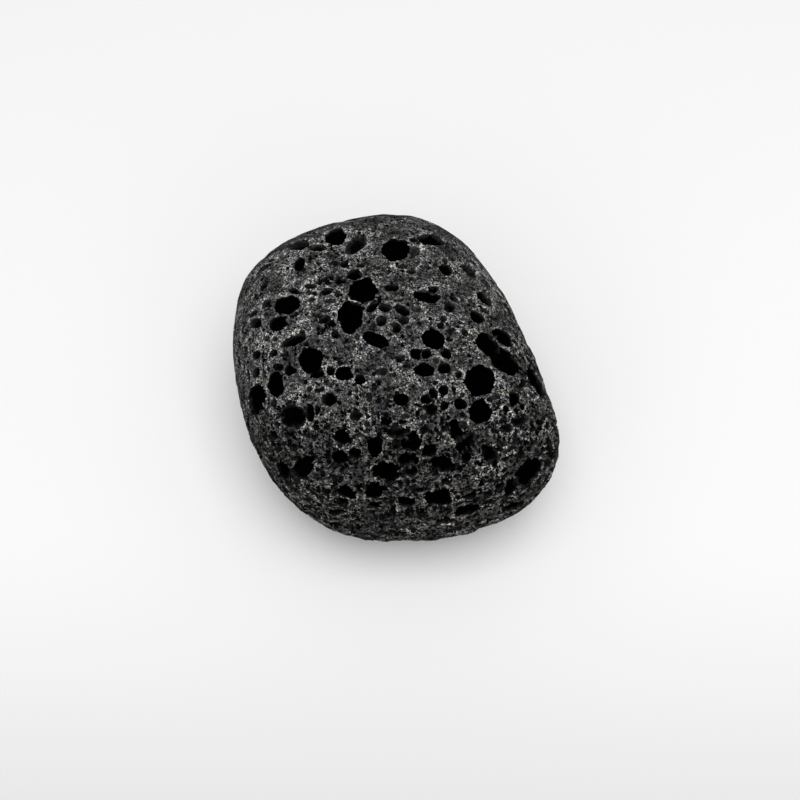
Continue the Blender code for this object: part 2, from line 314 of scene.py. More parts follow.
# Each mouth of the show side: across and up on the layout plane, length, width, turn of its length from level
# in degrees, and depth as a share of its width. The first list holds the large ones, which the solid has too.
MAIN_MOUTHS = (
    (-6.6, 15.7, 2.2, 1.7, 20, 0.75),
    (-4.3, 14.9, 2.9, 1.6, 38, 0.30),
    (0.1, 14.2, 2.7, 2.4, 0, 0.85),
    (4.1, 15.4, 2.8, 1.3, -10, 0.40),
    (-10.7, 14.8, 2.3, 1.1, 10, 0.30),
    (-10.6, 12.6, 1.4, 1.1, 75, 0.80),
    (-4.5, 11.4, 1.6, 1.2, 0, 0.50),
    (-3.5, 9.6, 2.7, 2.6, 0, 0.90),
    (-4.9, 6.7, 3.0, 2.6, 80, 0.95),
    (-12.0, 8.0, 2.6, 1.8, 20, 0.70),
    (-13.0, 5.9, 1.7, 1.5, 30, 0.70),
    (-2.25, 8.05, 2.0, 0.85, 50, 0.80),
    (-2.1, 4.1, 2.8, 1.3, -25, 0.90),
    (-11.2, 4.0, 2.9, 1.0, 22, 0.60),
    (-9.3, 1.8, 2.7, 2.3, 80, 0.70),
    (-5.7, 0.3, 1.6, 1.4, 0, 0.80),
    (-13.3, -0.9, 2.3, 1.6, 90, 0.80),
    (-15.6, -2.6, 3.1, 1.6, 80, 0.60),
    (-11.5, -4.4, 2.9, 2.2, -20, 0.40),
    (-9.4, -4.1, 1.9, 0.9, 95, 0.80),
    (-7.3, -2.6, 1.7, 1.3, 0, 0.50),
    (0.7, -2.6, 1.3, 1.2, 0, 0.80),
    (-5.9, -6.8, 1.5, 1.5, 0, 0.70),
    (-6.0, -9.1, 1.4, 1.3, 0, 0.80),
    (-2.1, -8.0, 2.0, 1.4, 80, 0.80),
    (-10.3, -10.3, 2.7, 1.9, 50, 0.55),
    (-12.5, -10.4, 2.2, 1.0, -60, 0.70),
    (-0.9, -10.6, 2.9, 1.7, -5, 0.80),
    (-2.4, -12.8, 1.7, 1.6, 0, 0.90),
    (-5.3, -12.9, 2.0, 1.2, -20, 0.80),
    (5.7, 12.0, 1.5, 1.1, -45, 0.70),
    (3.6, 8.9, 2.6, 1.2, -10, 0.85),
    (0.8, 7.4, 1.7, 0.9, -28, 0.70),
    (9.2, 6.7, 1.6, 1.1, -35, 0.70),
    (10.0, 8.7, 2.0, 0.8, -42, 0.60),
    (8.3, 11.9, 2.3, 0.9, -38, 0.27),
    (4.3, 4.1, 2.3, 2.0, -20, 0.85),
    (2.4, 2.5, 1.2, 1.1, 90, 0.80),
    (3.5, 2.5, 1.0, 1.0, 0, 0.80),
    (3.3, 0.7, 1.9, 1.3, 0, 0.80),
    (12.1, 4.4, 2.6, 1.2, -38, 0.80),
    (10.5, 3.4, 3.1, 1.8, -47, 0.80),
    (12.35, 1.7, 3.3, 1.9, -47, 0.85),
    (9.5, -0.45, 3.0, 2.9, 0, 0.90),
    (15.7, -0.4, 3.4, 0.9, -63, 0.90),
    (9.5, -4.0, 2.3, 2.1, 90, 0.90),
    (13.3, -2.6, 1.2, 1.0, 90, 0.80),
    (7.3, -3.1, 1.3, 1.1, 0, 0.70),
    (1.9, -7.4, 1.9, 1.7, 0, 0.80),
    (1.6, -9.3, 1.7, 1.5, 0, 0.80),
    (3.9, -8.3, 1.6, 1.0, 20, 0.80),
    (5.4, -9.8, 2.3, 1.4, -15, 0.70),
    (6.8, -6.1, 2.1, 1.1, -70, 0.90),
    (7.6, -7.9, 1.8, 1.3, -40, 0.80),
    (10.7, -8.8, 2.2, 1.5, -50, 0.40),
    (15.1, -10.7, 3.0, 2.0, 55, 0.60),
    (13.0, -12.3, 1.9, 1.1, 60, 0.80),
    (4.9, -13.5, 2.6, 1.6, 0, 0.85),
    (1.3, -14.0, 1.6, 1.1, 0, 0.80),
    (8.1, -14.9, 2.6, 1.0, 12, 0.85),
    (13.3, -14.4, 2.6, 0.7, 18, 0.60),
    (17.3, -7.9, 2.0, 0.7, 95, 0.70),
)
LESSER_MOUTHS = (
    (2.2, 14.1, 1.45, 1.3, 0, 0.22), (2.1, 15.3, 0.95, 0.5, 0, 0.8), (-8.6, 14.45, 2.0, 0.85, 0, 0.45),
    (-10.2, 12.0, 0.6, 0.45, 0, 0.8), (-14.6, 12.2, 1.75, 0.5, 33, 0.7), (-8.5, 12.7, 0.4, 0.4, 0, 0.9),
    (-5.6, 12.55, 0.8, 0.7, 0, 0.7), (-13.2, 12.85, 0.6, 0.3, 20, 0.7), (-11.2, 6.95, 1.0, 0.55, 10, 0.8),
    (-15.5, 6.0, 1.2, 1.2, 50, 0.5), (-15.8, 7.05, 1.0, 0.5, 30, 0.7), (-14.3, 8.2, 1.2, 0.8, 45, 0.4),
    (-11.2, 9.55, 1.1, 0.65, -20, 0.7), (-9.4, 10.1, 1.3, 0.55, -5, 0.7), (-7.55, 9.5, 1.2, 0.75, 10, 0.7),
    (-7.4, 10.45, 0.7, 0.5, 0, 0.7), (-6.35, 9.25, 0.8, 0.5, 80, 0.7), (-7.2, 8.4, 1.2, 0.5, 0, 0.6),
    (-9.3, 8.6, 1.0, 0.7, 0, 0.3), (-7.8, 7.35, 1.5, 0.4, 0, 0.7), (-7.8, 6.4, 1.3, 0.8, 30, 0.6),
    (-0.9, 8.75, 0.5, 0.35, 60, 0.8), (-0.35, 9.9, 1.5, 0.7, -5, 0.8), (-1.1, 7.7, 1.5, 0.85, 0, 0.6),
    (-1.5, 6.2, 1.15, 1.05, 90, 0.6), (0.25, 5.35, 0.9, 0.85, 90, 0.8), (-4.2, 4.4, 0.5, 0.5, 0, 0.8),
    (-6.6, 4.65, 0.8, 0.8, 0, 0.7), (-14.2, 4.25, 0.7, 0.6, 90, 0.6), (-13.3, 4.2, 0.6, 0.5, 0, 0.7),
    (-15.45, 2.4, 1.0, 0.8, 60, 0.8), (-13.5, 2.6, 0.85, 0.7, 20, 0.8), (-16.6, 3.1, 0.7, 0.4, 90, 0.8),
    (-17.4, 1.9, 0.7, 0.4, 90, 0.8), (-8.7, 0.4, 1.6, 1.1, -10, 0.6), (-7.1, 0.6, 0.9, 0.85, 90, 0.8),
    (-7.8, 1.45, 0.6, 0.3, 0, 0.7), (-7.5, 2.15, 0.5, 0.4, 0, 0.6), (-12.95, 1.05, 1.1, 0.7, 0, 0.8),
    (-11.7, 0.65, 1.1, 0.9, 90, 0.8), (-14.05, 0.85, 0.55, 0.4, 90, 0.8), (-15.45, 0.45, 1.1, 0.7, 65, 0.8),
    (-16.3, 0.2, 1.4, 0.35, 100, 0.8), (-16.8, 1.1, 0.6, 0.3, 90, 0.7), (-3.85, -0.4, 1.05, 0.95, 0, 0.8),
    (-1.4, 0.55, 1.3, 0.9, 0, 0.4), (-13.5, -2.95, 0.9, 0.7, 90, 0.6), (-8.6, -3.8, 0.9, 0.6, 90, 0.7),
    (-8.6, -1.6, 0.6, 0.5, 0, 0.7), (-4.3, -4.4, 1.3, 0.9, 0, 0.6), (-0.9, -5.0, 1.0, 0.9, 0, 0.8),
    (-7.0, -4.3, 0.4, 0.4, 0, 0.8), (-2.75, -2.35, 0.9, 0.6, 90, 0.6), (-4.25, -1.6, 0.8, 0.6, 90, 0.35),
    (-4.5, -8.7, 1.2, 1.2, 0, 0.6), (-13.5, -6.6, 1.0, 0.8, 90, 0.6), (-14.4, -6.8, 0.8, 0.5, 90, 0.7),
    (-11.6, -6.4, 0.8, 0.6, 0, 0.6), (-12.95, -8.1, 0.9, 0.6, 0, 0.6), (-13.8, -9.0, 1.2, 0.4, -45, 0.7),
    (-3.85, -12.55, 1.0, 0.8, 0, 0.7), (-7.6, -12.95, 0.7, 0.65, 90, 0.8), (-5.85, -14.1, 1.2, 1.0, 0, 0.6),
    (-6.3, -15.1, 1.7, 0.5, 0, 0.8), (-7.3, -14.3, 1.0, 0.4, 0, 0.7), (-9.7, -14.45, 0.8, 0.3, -20, 0.7),
    (-6.8, -16.4, 1.8, 0.35, -12, 0.8), (-4.45, -15.6, 1.0, 0.45, 0, 0.8), (-4.7, -16.1, 0.6, 0.25, 0, 0.8),
    (-3.1, -17.45, 1.6, 0.4, 0, 0.8), (-4.8, -17.15, 0.9, 0.3, -12, 0.8), (-1.15, -16.4, 1.0, 0.3, 0, 0.7),
    (-2.3, -14.4, 1.2, 0.6, 0, 0.7), (-0.2, -14.7, 0.6, 0.4, 0, 0.8), (-12.2, -12.5, 1.2, 0.4, -55, 0.7),
    (-10.9, -11.6, 1.3, 0.8, 60, 0.5), (-6.8, -11.4, 0.7, 0.5, 90, 0.7), (-6.0, -11.4, 0.5, 0.4, 90, 0.7),
    (-3.3, -6.2, 0.5, 0.4, 0, 0.7), (0.8, 12.35, 1.4, 0.55, 0, 0.5), (1.85, 11.75, 1.0, 0.6, 0, 0.6),
    (4.5, 12.5, 0.6, 0.4, 0, 0.7), (4.1, 13.7, 0.3, 0.3, 0, 0.8), (1.0, 17.35, 0.6, 0.3, 0, 0.8),
    (1.7, 16.8, 0.5, 0.15, 0, 0.7), (4.3, 9.7, 0.9, 0.8, 0, 0.8), (3.2, 9.55, 1.3, 0.7, 0, 0.3),
    (0.6, 8.5, 0.6, 0.3, 0, 0.7), (2.4, 7.55, 1.4, 0.9, -20, 0.25), (1.0, 6.3, 1.2, 0.8, 0, 0.6),
    (1.6, 5.5, 0.5, 0.4, 0, 0.7), (5.4, 6.45, 0.8, 0.7, 0, 0.6), (5.1, 5.65, 0.7, 0.7, 0, 0.8),
    (6.2, 5.1, 0.6, 0.6, 0, 0.8), (6.1, 4.15, 0.7, 0.55, 0, 0.8), (7.8, 4.9, 0.8, 0.6, -45, 0.7),
    (5.6, 2.6, 1.3, 0.9, -40, 0.8), (5.5, 0.9, 1.2, 1.2, 0, 0.6), (4.6, 1.75, 0.8, 0.8, 0, 0.3),
    (7.15, 0.2, 0.8, 0.6, 45, 0.8), (8.5, 1.7, 0.45, 0.4, 0, 0.8), (7.4, 3.0, 0.5, 0.4, 0, 0.7),
    (8.6, 2.95, 0.8, 0.35, 0, 0.7), (6.5, 8.75, 1.0, 0.6, -30, 0.6), (7.55, 8.5, 0.4, 0.4, 0, 0.8),
    (8.4, 8.5, 0.55, 0.5, 0, 0.7), (10.0, 9.65, 0.5, 0.4, 0, 0.7), (10.6, 8.6, 0.6, 0.3, -45, 0.7),
    (10.05, 7.4, 1.0, 0.5, -35, 0.6), (12.15, 6.0, 0.7, 0.3, -60, 0.7), (12.4, 6.8, 0.8, 0.35, -50, 0.3),
    (12.55, 7.8, 1.7, 0.4, -52, 0.4), (13.5, 4.65, 1.2, 0.4, -60, 0.7), (14.8, 0.3, 0.8, 0.3, 90, 0.7),
    (12.2, -0.1, 0.6, 0.4, -30, 0.7), (11.9, -1.2, 0.6, 0.35, -30, 0.7), (14.3, -0.6, 0.8, 0.5, -70, 0.7),
    (14.6, -2.2, 0.6, 0.4, 90, 0.7), (14.3, -3.4, 0.65, 0.45, 90, 0.8), (15.4, -2.1, 0.9, 0.6, -40, 0.3),
    (11.2, -2.35, 0.8, 0.6, 0, 0.5), (12.4, -3.65, 0.7, 0.6, 90, 0.7), (11.1, -3.7, 0.6, 0.4, 0, 0.7),
    (5.5, -3.3, 0.9, 0.9, 0, 0.6), (4.3, -1.95, 1.1, 0.8, 90, 0.8), (5.45, -1.6, 1.1, 0.9, 90, 0.8),
    (3.6, -2.55, 1.1, 1.0, 0, 0.6), (4.1, -3.75, 1.2, 1.1, 90, 0.6), (7.55, -2.1, 0.5, 0.5, 0, 0.6),
    (8.3, -2.4, 0.3, 0.3, 0, 0.8), (1.2, -4.45, 1.0, 0.5, 0, 0.6), (3.2, -4.6, 0.6, 0.5, 0, 0.7),
    (0.45, -6.4, 2.4, 1.2, 0, 0.5), (0.2, -7.6, 1.2, 0.9, 90, 0.6), (1.75, -10.6, 1.4, 1.1, 0, 0.7),
    (7.95, -8.9, 1.3, 0.8, 95, 0.9), (7.6, -5.4, 1.0, 0.9, 0, 0.35), (12.4, -5.85, 1.4, 0.9, 0, 0.5),
    (11.1, -6.1, 0.8, 0.6, 0, 0.6), (14.45, -4.65, 0.9, 0.8, 90, 0.5), (13.1, -5.0, 0.8, 0.3, 90, 0.7),
    (16.2, -5.1, 0.8, 0.6, 0, 0.8), (15.3, -5.3, 1.0, 0.4, 90, 0.7), (14.65, -7.5, 0.7, 0.6, 90, 0.7),
    (15.0, -8.1, 0.7, 0.5, 90, 0.7), (14.1, -8.8, 0.9, 0.7, 0, 0.6), (11.7, -8.2, 0.8, 0.5, 0, 0.7),
    (9.2, -9.65, 0.6, 0.5, 90, 0.7), (17.1, -9.65, 1.0, 0.6, 75, 0.6), (11.75, -12.2, 1.0, 0.6, 30, 0.8),
    (11.5, -11.7, 0.7, 0.4, 10, 0.7), (12.4, -11.0, 0.8, 0.4, 45, 0.7), (16.8, -11.4, 0.9, 0.4, 60, 0.6),
    (8.5, -13.3, 1.3, 0.8, 35, 0.8), (7.0, -13.4, 0.5, 0.5, 0, 0.7), (5.8, -11.75, 0.9, 0.6, -40, 0.8),
    (4.65, -11.9, 0.5, 0.3, 0, 0.7), (6.9, -11.1, 0.8, 0.4, 10, 0.7), (10.8, -14.0, 0.7, 0.4, 20, 0.7),
    (5.6, -16.1, 2.0, 0.6, 8, 0.6), (4.25, -16.55, 0.5, 0.25, 10, 0.7), (7.2, -16.2, 0.9, 0.3, 10, 0.7),
    (9.1, -16.5, 0.6, 0.25, 15, 0.7), (2.0, -17.0, 1.1, 0.4, 0, 0.6), (3.9, -17.4, 0.7, 0.25, 5, 0.7),
    (2.6, -14.8, 0.6, 0.25, 0, 0.7), (0.85, -15.8, 0.8, 0.25, 0, 0.7), (1.9, -15.5, 0.5, 0.25, 0, 0.7),
    (12.7, -15.25, 1.5, 0.3, 20, 0.6), (17.7, -4.9, 1.4, 0.3, 92, 0.6), (8.2, 14.8, 2.0, 0.35, -48, 0.6),
    (9.4, 13.3, 2.2, 0.3, -52, 0.7), (8.9, 12.7, 1.3, 0.3, -48, 0.6), (10.9, 11.3, 1.8, 0.3, -54, 0.7),
    (14.3, 2.1, 1.6, 0.35, -60, 0.7), (13.6, 6.2, 1.4, 0.3, -58, 0.6), (11.6, 9.2, 1.3, 0.3, -52, 0.7),
    (-17.0, 5.2, 1.0, 0.3, 85, 0.6), (-16.4, -5.0, 1.5, 0.4, -80, 0.7), (-15.3, -8.3, 1.6, 0.35, -62, 0.7),
    (-9.0, -15.6, 1.6, 0.35, -28, 0.7), (-10.9, -13.9, 1.5, 0.3, -38, 0.7), (0.3, -17.3, 1.4, 0.35, 0, 0.7),
    (6.4, -17.2, 1.2, 0.3, 8, 0.7), (10.8, -15.9, 1.4, 0.3, 18, 0.7), (16.3, -13.0, 1.3, 0.3, 48, 0.6),
    (18.2, -9.0, 1.5, 0.3, 85, 0.7),
)


@dataclass(frozen=True)
class ShowVesicles:
    """The vesicles of the show side, carried from the layout plane onto the skin."""

    layout: Layout
    entries: tuple[tuple[float, ...], ...] = MAIN_MOUTHS + LESSER_MOUTHS
    largest_stretch: float = 2.4
    mouth_wear: float = 1.06

    def mouths(self) -> Mouths:
        """Lays each mouth on the skin.

        A half axis seen along the line q is slid along q into the skin's plane: a - q * (a.n) / (q.n). The
        two slid axes span an ellipse whose own half axes are the singular vectors of the pair.

        Returns:
            The show side's mouths.
        """
        table = np.array(self.entries, float)
        points, lines, met = self.layout.cast(table[:, :2])
        table, points, lines = table[met], points[met], lines[met]
        table[:, 2:4] *= self.mouth_wear
        normals = self.layout.form.normals(points)
        across, up, _ = self.layout.axes()
        turn = np.radians(table[:, 4])[:, None]
        seen_long = (across * np.cos(turn) + up * np.sin(turn)) * 0.5 * table[:, 2:3]
        seen_wide = (up * np.cos(turn) - across * np.sin(turn)) * 0.5 * table[:, 3:4]
        slant = dot(lines, normals)
        slid = [seen - lines * (dot(seen, normals) / slant)[:, None] for seen in (seen_long, seen_wide)]
        side = unit(np.cross(slid[0], normals))
        ahead = unit(np.cross(normals, side))
        spread = np.stack([np.stack([dot(axis, ahead), dot(axis, side)], -1) for axis in slid], -1)
        turned, sizes, _ = np.linalg.svd(spread)
        sizes[:, 0] = np.minimum(sizes[:, 0], sizes[:, 1] * self.largest_stretch)
        axes = [
            (ahead * turned[:, :1, column] + side * turned[:, 1:, column]) * sizes[:, column:column + 1]
            for column in (0, 1)
        ]
        return Mouths(points, normals, axes[0], axes[1], 2.0 * sizes[:, 1] * table[:, 5])


@dataclass(frozen=True)
class BackVesicles:
    """The vesicles of the sides that the layout point doesn't face, scattered with a fixed seed.

    The first set follows the solid's own draws, and a second, denser one fills between them. A mouth is left
    out where it faces the layout point by more than facing, near the foot, and where it would touch another.
    """

    layout: Layout
    seed: int = 11
    count: int = 30
    width: Pair = (1.1, 2.7)
    stretch: Pair = (1.0, 1.5)
    depth: Pair = (0.55, 0.90)
    gap: float = 1.0
    narrowing: float = 1.6
    tries: int = 4000
    facing: float = -0.20
    foot_clearance: float = 9.5
    foot_ring_height: float = 3.0
    lowest: float = 0.35
    filling_count: int = 480
    filling_width: Pair = (0.45, 2.6)
    filling_gap: float = 0.12
    filling_narrowing: float = 2.0

    def mouths(self, shown: Mouths) -> Mouths:
        """Scatters the solid's vesicles, then the filling ones.

        Args:
            shown: the show side's mouths, which the scattered ones keep clear of.

        Returns:
            The scattered mouths.
        """
        dice = random.Random(self.seed)
        taken = list(zip(shown.points, np.linalg.norm(shown.long_axes, axis=1)))
        rows: list[tuple[Array, ...]] = []
        self._scatter(dice, taken, rows, self.count, self.width, self.narrowing, self.gap, True)
        self._scatter(
            dice, taken, rows, self.filling_count, self.filling_width, self.filling_narrowing,
            self.filling_gap, False,
        )
        return Mouths(*(np.array(column) for column in zip(*rows)))

    def _scatter(
        self, dice: random.Random, taken: list[tuple[Array, float]], rows: list[tuple[Array, ...]],
        count: int, width: Pair, power: float, gap: float, clear_foot: bool,
    ) -> None:
        """Draws mouths until count of them have found room.

        Args:
            dice: the random numbers, drawn in the order direction, width, stretch, turn, depth.
            taken: the middles and reaches of the mouths that others keep clear of. New ones are added.
            rows: the mouths made so far, as points, normals, half axes and depths. New ones are added.
            count: how many are wanted.
            width: the narrowest and the widest mouth.
            power: above 1, wide mouths are rarer.
            gap: the skin left between two mouths.
            clear_foot: whether the whole ring about the foot is kept clear.
        """
        form, inward, made = self.layout.form, self.layout.axes()[2], 0
        for _ in range(self.tries):
            if made == count:
                break
            direction = unit(np.array([dice.gauss(0.0, 1.0), dice.gauss(0.0, 1.0), dice.gauss(0.0, 1.0)]))
            wide = width[0] + (width[1] - width[0]) * dice.random() ** power
            length = wide * dice.uniform(*self.stretch)
            turn = dice.uniform(0.0, math.pi)
            depth = dice.uniform(*self.depth)
            point = form.skin(direction)
            normal = form.normals(point)
            if normal @ inward < self.facing:
                continue
            near_foot = math.hypot(*(point - form.centre)[:2]) < self.foot_clearance
            if clear_foot and near_foot and point[2] < self.foot_ring_height:
                continue
            if point[2] < self.lowest + 0.5 * length:
                continue
            if any(np.linalg.norm(point - other) < 0.5 * length + reach + gap for other, reach in taken):
                continue
            side = np.array(Vector(normal).orthogonal().normalized())
            ahead = np.cross(normal, side)
            long_axis = (side * math.cos(turn) + ahead * math.sin(turn)) * (0.5 * length)
            wide_axis = (ahead * math.cos(turn) - side * math.sin(turn)) * (0.5 * wide)
            rows.append((point, normal, long_axis, wide_axis, np.array(wide * depth)))
            taken.append((point, 0.5 * length))
            made += 1


@dataclass(frozen=True)
class BubbleWalls:
    """Carries the skin inside each mouth onto the wall of its bubble.

    A ball of radius r cut by the skin leaves a mouth of radius m and a depth d when r = (d*d + m*m) / 2d. A
    point at the share s of the mouth's radius goes to the ball's polar angle s * (angle of the rim), so the
    wall is evenly covered and overhangs below the rim. Where bubbles meet, the deepest wins. Waves and noises
    change s, which makes the rims uneven.
    """

    rim_waves: tuple[tuple[int, float], ...] = ((2, 0.05), (3, 0.03), (5, 0.018))
    rim_noises: tuple[tuple[WavyNoise, float], ...] = (
        (WavyNoise(seed=5, wavelength=0.9), 0.045),
        (WavyNoise(seed=6, wavelength=0.45), 0.03),
    )
    wall_noise: WavyNoise = WavyNoise(seed=9, wavelength=1.1)
    wall_roughness: float = 0.10
    fade: float = 0.35
    rim_width: float = 0.45
    rim_wave_turn: float = 1.9
    coarse_ragging: float = 1.1
    search: float = 1.35

    def carve(self, points: Array, mouths: Mouths, coarse: Array) -> tuple[Array, Array]:
        """Moves the points that lie inside mouths.

        Args:
            points: the uncut skin's points.
            mouths: the vesicles.
            coarse: the rock's coarseness at each point, from 0 to 1. Coarse rims are more ragged.

        Returns:
            The moved points, and how near each one started to a rim: 1 on it and 0 beyond rim_width.
        """
        deepest, second = np.zeros(len(points)), np.zeros(len(points))
        sideways, sunk = np.zeros_like(points), np.zeros_like(points)
        rims = np.zeros(len(points))
        wall_noise = self.wall_noise.at(points)
        rim_noise = sum(height * noise.at(points) for noise, height in self.rim_noises)
        rim_noise *= 1.0 + self.coarse_ragging * coarse
        for number, mouth in enumerate(mouths.each()):
            near, along, beside = mouth.around(points, self.search * np.linalg.norm(mouth.long_axis))
            angle = np.arctan2(beside, along)
            share = np.hypot(along, beside)
            wave = sum(
                height * np.sin(count * angle + self.rim_wave_turn * number * count)
                for count, height in self.rim_waves
            )
            share = share * (1.0 + wave + rim_noise[near])
            radius, depth = float(np.linalg.norm(mouth.wide_axis)), mouth.depth
            rims[near] = np.maximum(rims[near], 1.0 - np.abs(share - 1.0) * radius / self.rim_width)
            inside = share < 1.0
            near, along, beside, share = near[inside], along[inside], beside[inside], share[inside]
            ball = (depth * depth + radius * radius) / (2.0 * depth)
            rim_angle = math.acos(np.clip((ball - depth) / ball, -1.0, 1.0))
            polar = share * rim_angle
            drop = ball * np.cos(polar) + depth - ball
            drop = drop * (1.0 + self.wall_roughness * wall_noise[near] * (1.0 - share))
            growth = np.sin(polar) * ball / (radius * np.maximum(share, 1e-6)) - 1.0
            wins = drop > deepest[near]
            second[near] = np.where(wins, deepest[near], np.maximum(second[near], drop))
            winners = near[wins]
            deepest[winners] = drop[wins]
            lengthways, widthways = (growth * along)[wins, None], (growth * beside)[wins, None]
            sideways[winners] = lengthways * mouth.long_axis + widthways * mouth.wide_axis
            sunk[winners] = -drop[wins, None] * mouth.normal
        clear = np.clip((deepest - second) / (self.fade * np.maximum(deepest, 1e-9)), 0.0, 1.0)
        return points + sideways * clear[:, None] + sunk, rims


# Odd factors and shifts that scramble a cell's whole numbers into a throw of the dice, and what each throw
# for a cell is called by: three for the bubble's place, one for its size and one for whether it is there.
PLACE_SALTS = (1, 2, 3)
SIZE_SALT = 4
THERE_SALT = 5
CELL_FACTORS = (73856093, 19349663, 83492791)
SEED_FACTOR = 7919
SALT_FACTOR = 104729
DICE_MIXING = ((15, 2246822519), (13, 3266489917), (16, 1))
DICE_RANGE = 2.0 ** 32


@dataclass(frozen=True)
class FineBubbles:
    """Small bubbles scattered through the whole rock, one or none in each cell of a cubic lattice.

    A cell's bubble is placed and sized by dice thrown from the cell's whole numbers, so the same bubble is
    met from the skin and from a vesicle's wall. A surface point inside a bubble moves to where its inward
    line leaves that bubble: with c the way to the bubble's middle, the travel is
    c.line + sqrt(r*r - (c.c - (c.line)**2)). The share coarse_share of the bubbles is in coarse rock alone.
    """

    pitch: float
    radius: Pair
    share: float
    seed: int
    passes: int = 2
    coarse_share: float = 0.0
    warp: float = 0.10
    warp_wavelength: float = 0.8
    settled: float = 0.02

    def dice(self, cells: Array, salt: int) -> Array:
        """One number from 0 to 1 for each cell: its whole numbers multiplied, mixed and scaled.

        Args:
            cells: the cells' three whole numbers, along the last axis.
            salt: tells one throw for a cell from another.

        Returns:
            The throws.
        """
        mixed = np.full(cells.shape[:-1], self.seed * SEED_FACTOR + salt * SALT_FACTOR, np.uint32)
        for axis, factor in enumerate(CELL_FACTORS):
            mixed = mixed ^ cells[..., axis].astype(np.uint32) * np.uint32(factor)
        for shift, factor in DICE_MIXING:
            mixed = (mixed ^ (mixed >> np.uint32(shift))) * np.uint32(factor)
        return mixed.astype(np.float64) / DICE_RANGE

    def travel(self, points: Array, inward: Array, richness: Array) -> Array:
        """How far each point moves along its inward line before it is out of every bubble.

        Args:
            points: surface points.
            inward: unit directions into the rock.
            richness: how many of the bubbles there are at each point, from 0 to 1 or a little more.

        Returns:
            The travels, zero outside every bubble.
        """
        warps = [WavyNoise(self.seed + step, self.warp_wavelength).at(points) for step in (1, 2, 3)]
        start = points + self.warp * np.stack(warps, axis=-1)
        total = np.zeros(len(points))
        moving = np.arange(len(points))
        for _ in range(self.passes):
            here, line = start[moving] + inward[moving] * total[moving, None], inward[moving]
            home = np.floor(here / self.pitch).astype(np.int64)
            longest = np.zeros(len(moving))
            for step in np.ndindex(3, 3, 3):
                cells = home + np.array(step) - 1
                radius = self.radius[0] + (self.radius[1] - self.radius[0]) * self.dice(cells, SIZE_SALT) ** 2
                radius *= self.dice(cells, THERE_SALT) < self.share * richness[moving]
                middle = (cells + np.stack([self.dice(cells, salt) for salt in PLACE_SALTS], -1)) * self.pitch
                away = middle - here
                along = dot(away, line)
                squared = dot(away, away)
                inside = squared < radius * radius
                leaves = along + np.sqrt(np.maximum(radius * radius - squared + along * along, 0.0))
                longest = np.where(inside, np.maximum(longest, leaves), longest)
            total[moving] += longest
            moving = moving[longest > self.settled]
        return total


@dataclass(frozen=True)
class SphereGrid:
    """Six square grids blown from a cube onto a sphere: a direction from two parameters on each face.

    With u and v from -1 to 1 across a face, the direction is (1, tan(u*pi/4), tan(v*pi/4)) scaled to length
    one and turned to the face. Edges shared by two faces are welded.
    """

    cuts: int
    weld_fineness: float = 1e7

    def directions(self) -> tuple[Array, Array]:
        """The grid's directions and its quads.

        Returns:
            Unit directions (N x 3), and the four corner numbers of each quad (M x 4), facing out.
        """
        ticks = np.tan(np.linspace(-1.0, 1.0, self.cuts + 1) * math.pi / 4.0)
        first, second = np.meshgrid(ticks, ticks, indexing="ij")
        ahead = np.ones_like(first)
        faces = (
            (ahead, first, second), (-ahead, second, first), (second, ahead, first),
            (first, -ahead, second), (first, second, ahead), (second, first, -ahead),
        )
        grid = np.stack([np.stack(face, axis=-1) for face in faces]).reshape(-1, 3)
        row = np.arange(self.cuts)
        corner = row[:, None] * (self.cuts + 1) + row[None, :]
        quad = np.stack([corner, corner + self.cuts + 1, corner + self.cuts + 2, corner + 1], axis=-1)
        quads = (np.arange(6)[:, None, None] * (self.cuts + 1) ** 2 + quad.reshape(1, -1, 4)).reshape(-1, 4)
        rounded = np.round(unit(grid) * self.weld_fineness).astype(np.int64)
        _, kept, renumbered = np.unique(rounded, axis=0, return_index=True, return_inverse=True)
        directions, quads = unit(grid[kept]), renumbered.reshape(-1)[quads]
        corners = directions[quads]
        facing = np.cross(corners[:, 2] - corners[:, 0], corners[:, 3] - corners[:, 1])
        inward = dot(facing, corners[:, 0]) < 0.0
        quads[inward] = quads[inward, ::-1]
        return directions, quads


def surface_normals(points: Array, quads: Array) -> Array:
    """Vertex normals: the cross products of each quad's diagonals, added up at its corners.

    Args:
        points: the vertices.
        quads: the corner numbers of the faces.

    Returns:
        Unit normals, one for each vertex.
    """
    facing = np.cross(points[quads[:, 2]] - points[quads[:, 0]], points[quads[:, 3]] - points[quads[:, 1]])
    corners = quads.reshape(-1)
    repeated = np.repeat(facing, 4, axis=0)
    total = np.stack([np.bincount(corners, repeated[:, axis], len(points)) for axis in range(3)], axis=-1)
    return unit(total)


def add_mesh(name: str, points: Array, faces: Array) -> bpy.types.Object:
    """Makes a mesh object from whole arrays.

    Args:
        name: the object's and the mesh's name.
        points: vertices, in metres.
        faces: corner numbers, all faces with the same number of corners.

    Returns:
        The linked object.
    """
    mesh = bpy.data.meshes.new(name)
    corners = faces.shape[1]
    mesh.vertices.add(len(points))
    mesh.vertices.foreach_set("co", points.astype(np.float32).ravel())
    mesh.loops.add(faces.size)
    mesh.loops.foreach_set("vertex_index", faces.astype(np.int32).ravel())
    mesh.polygons.add(len(faces))
    mesh.polygons.foreach_set("loop_start", np.arange(0, faces.size, corners, dtype=np.int32))
    mesh.update(calc_edges=True)
    mesh.validate()
    piece = bpy.data.objects.new(name, mesh)
    bpy.context.scene.collection.objects.link(piece)
    return piece


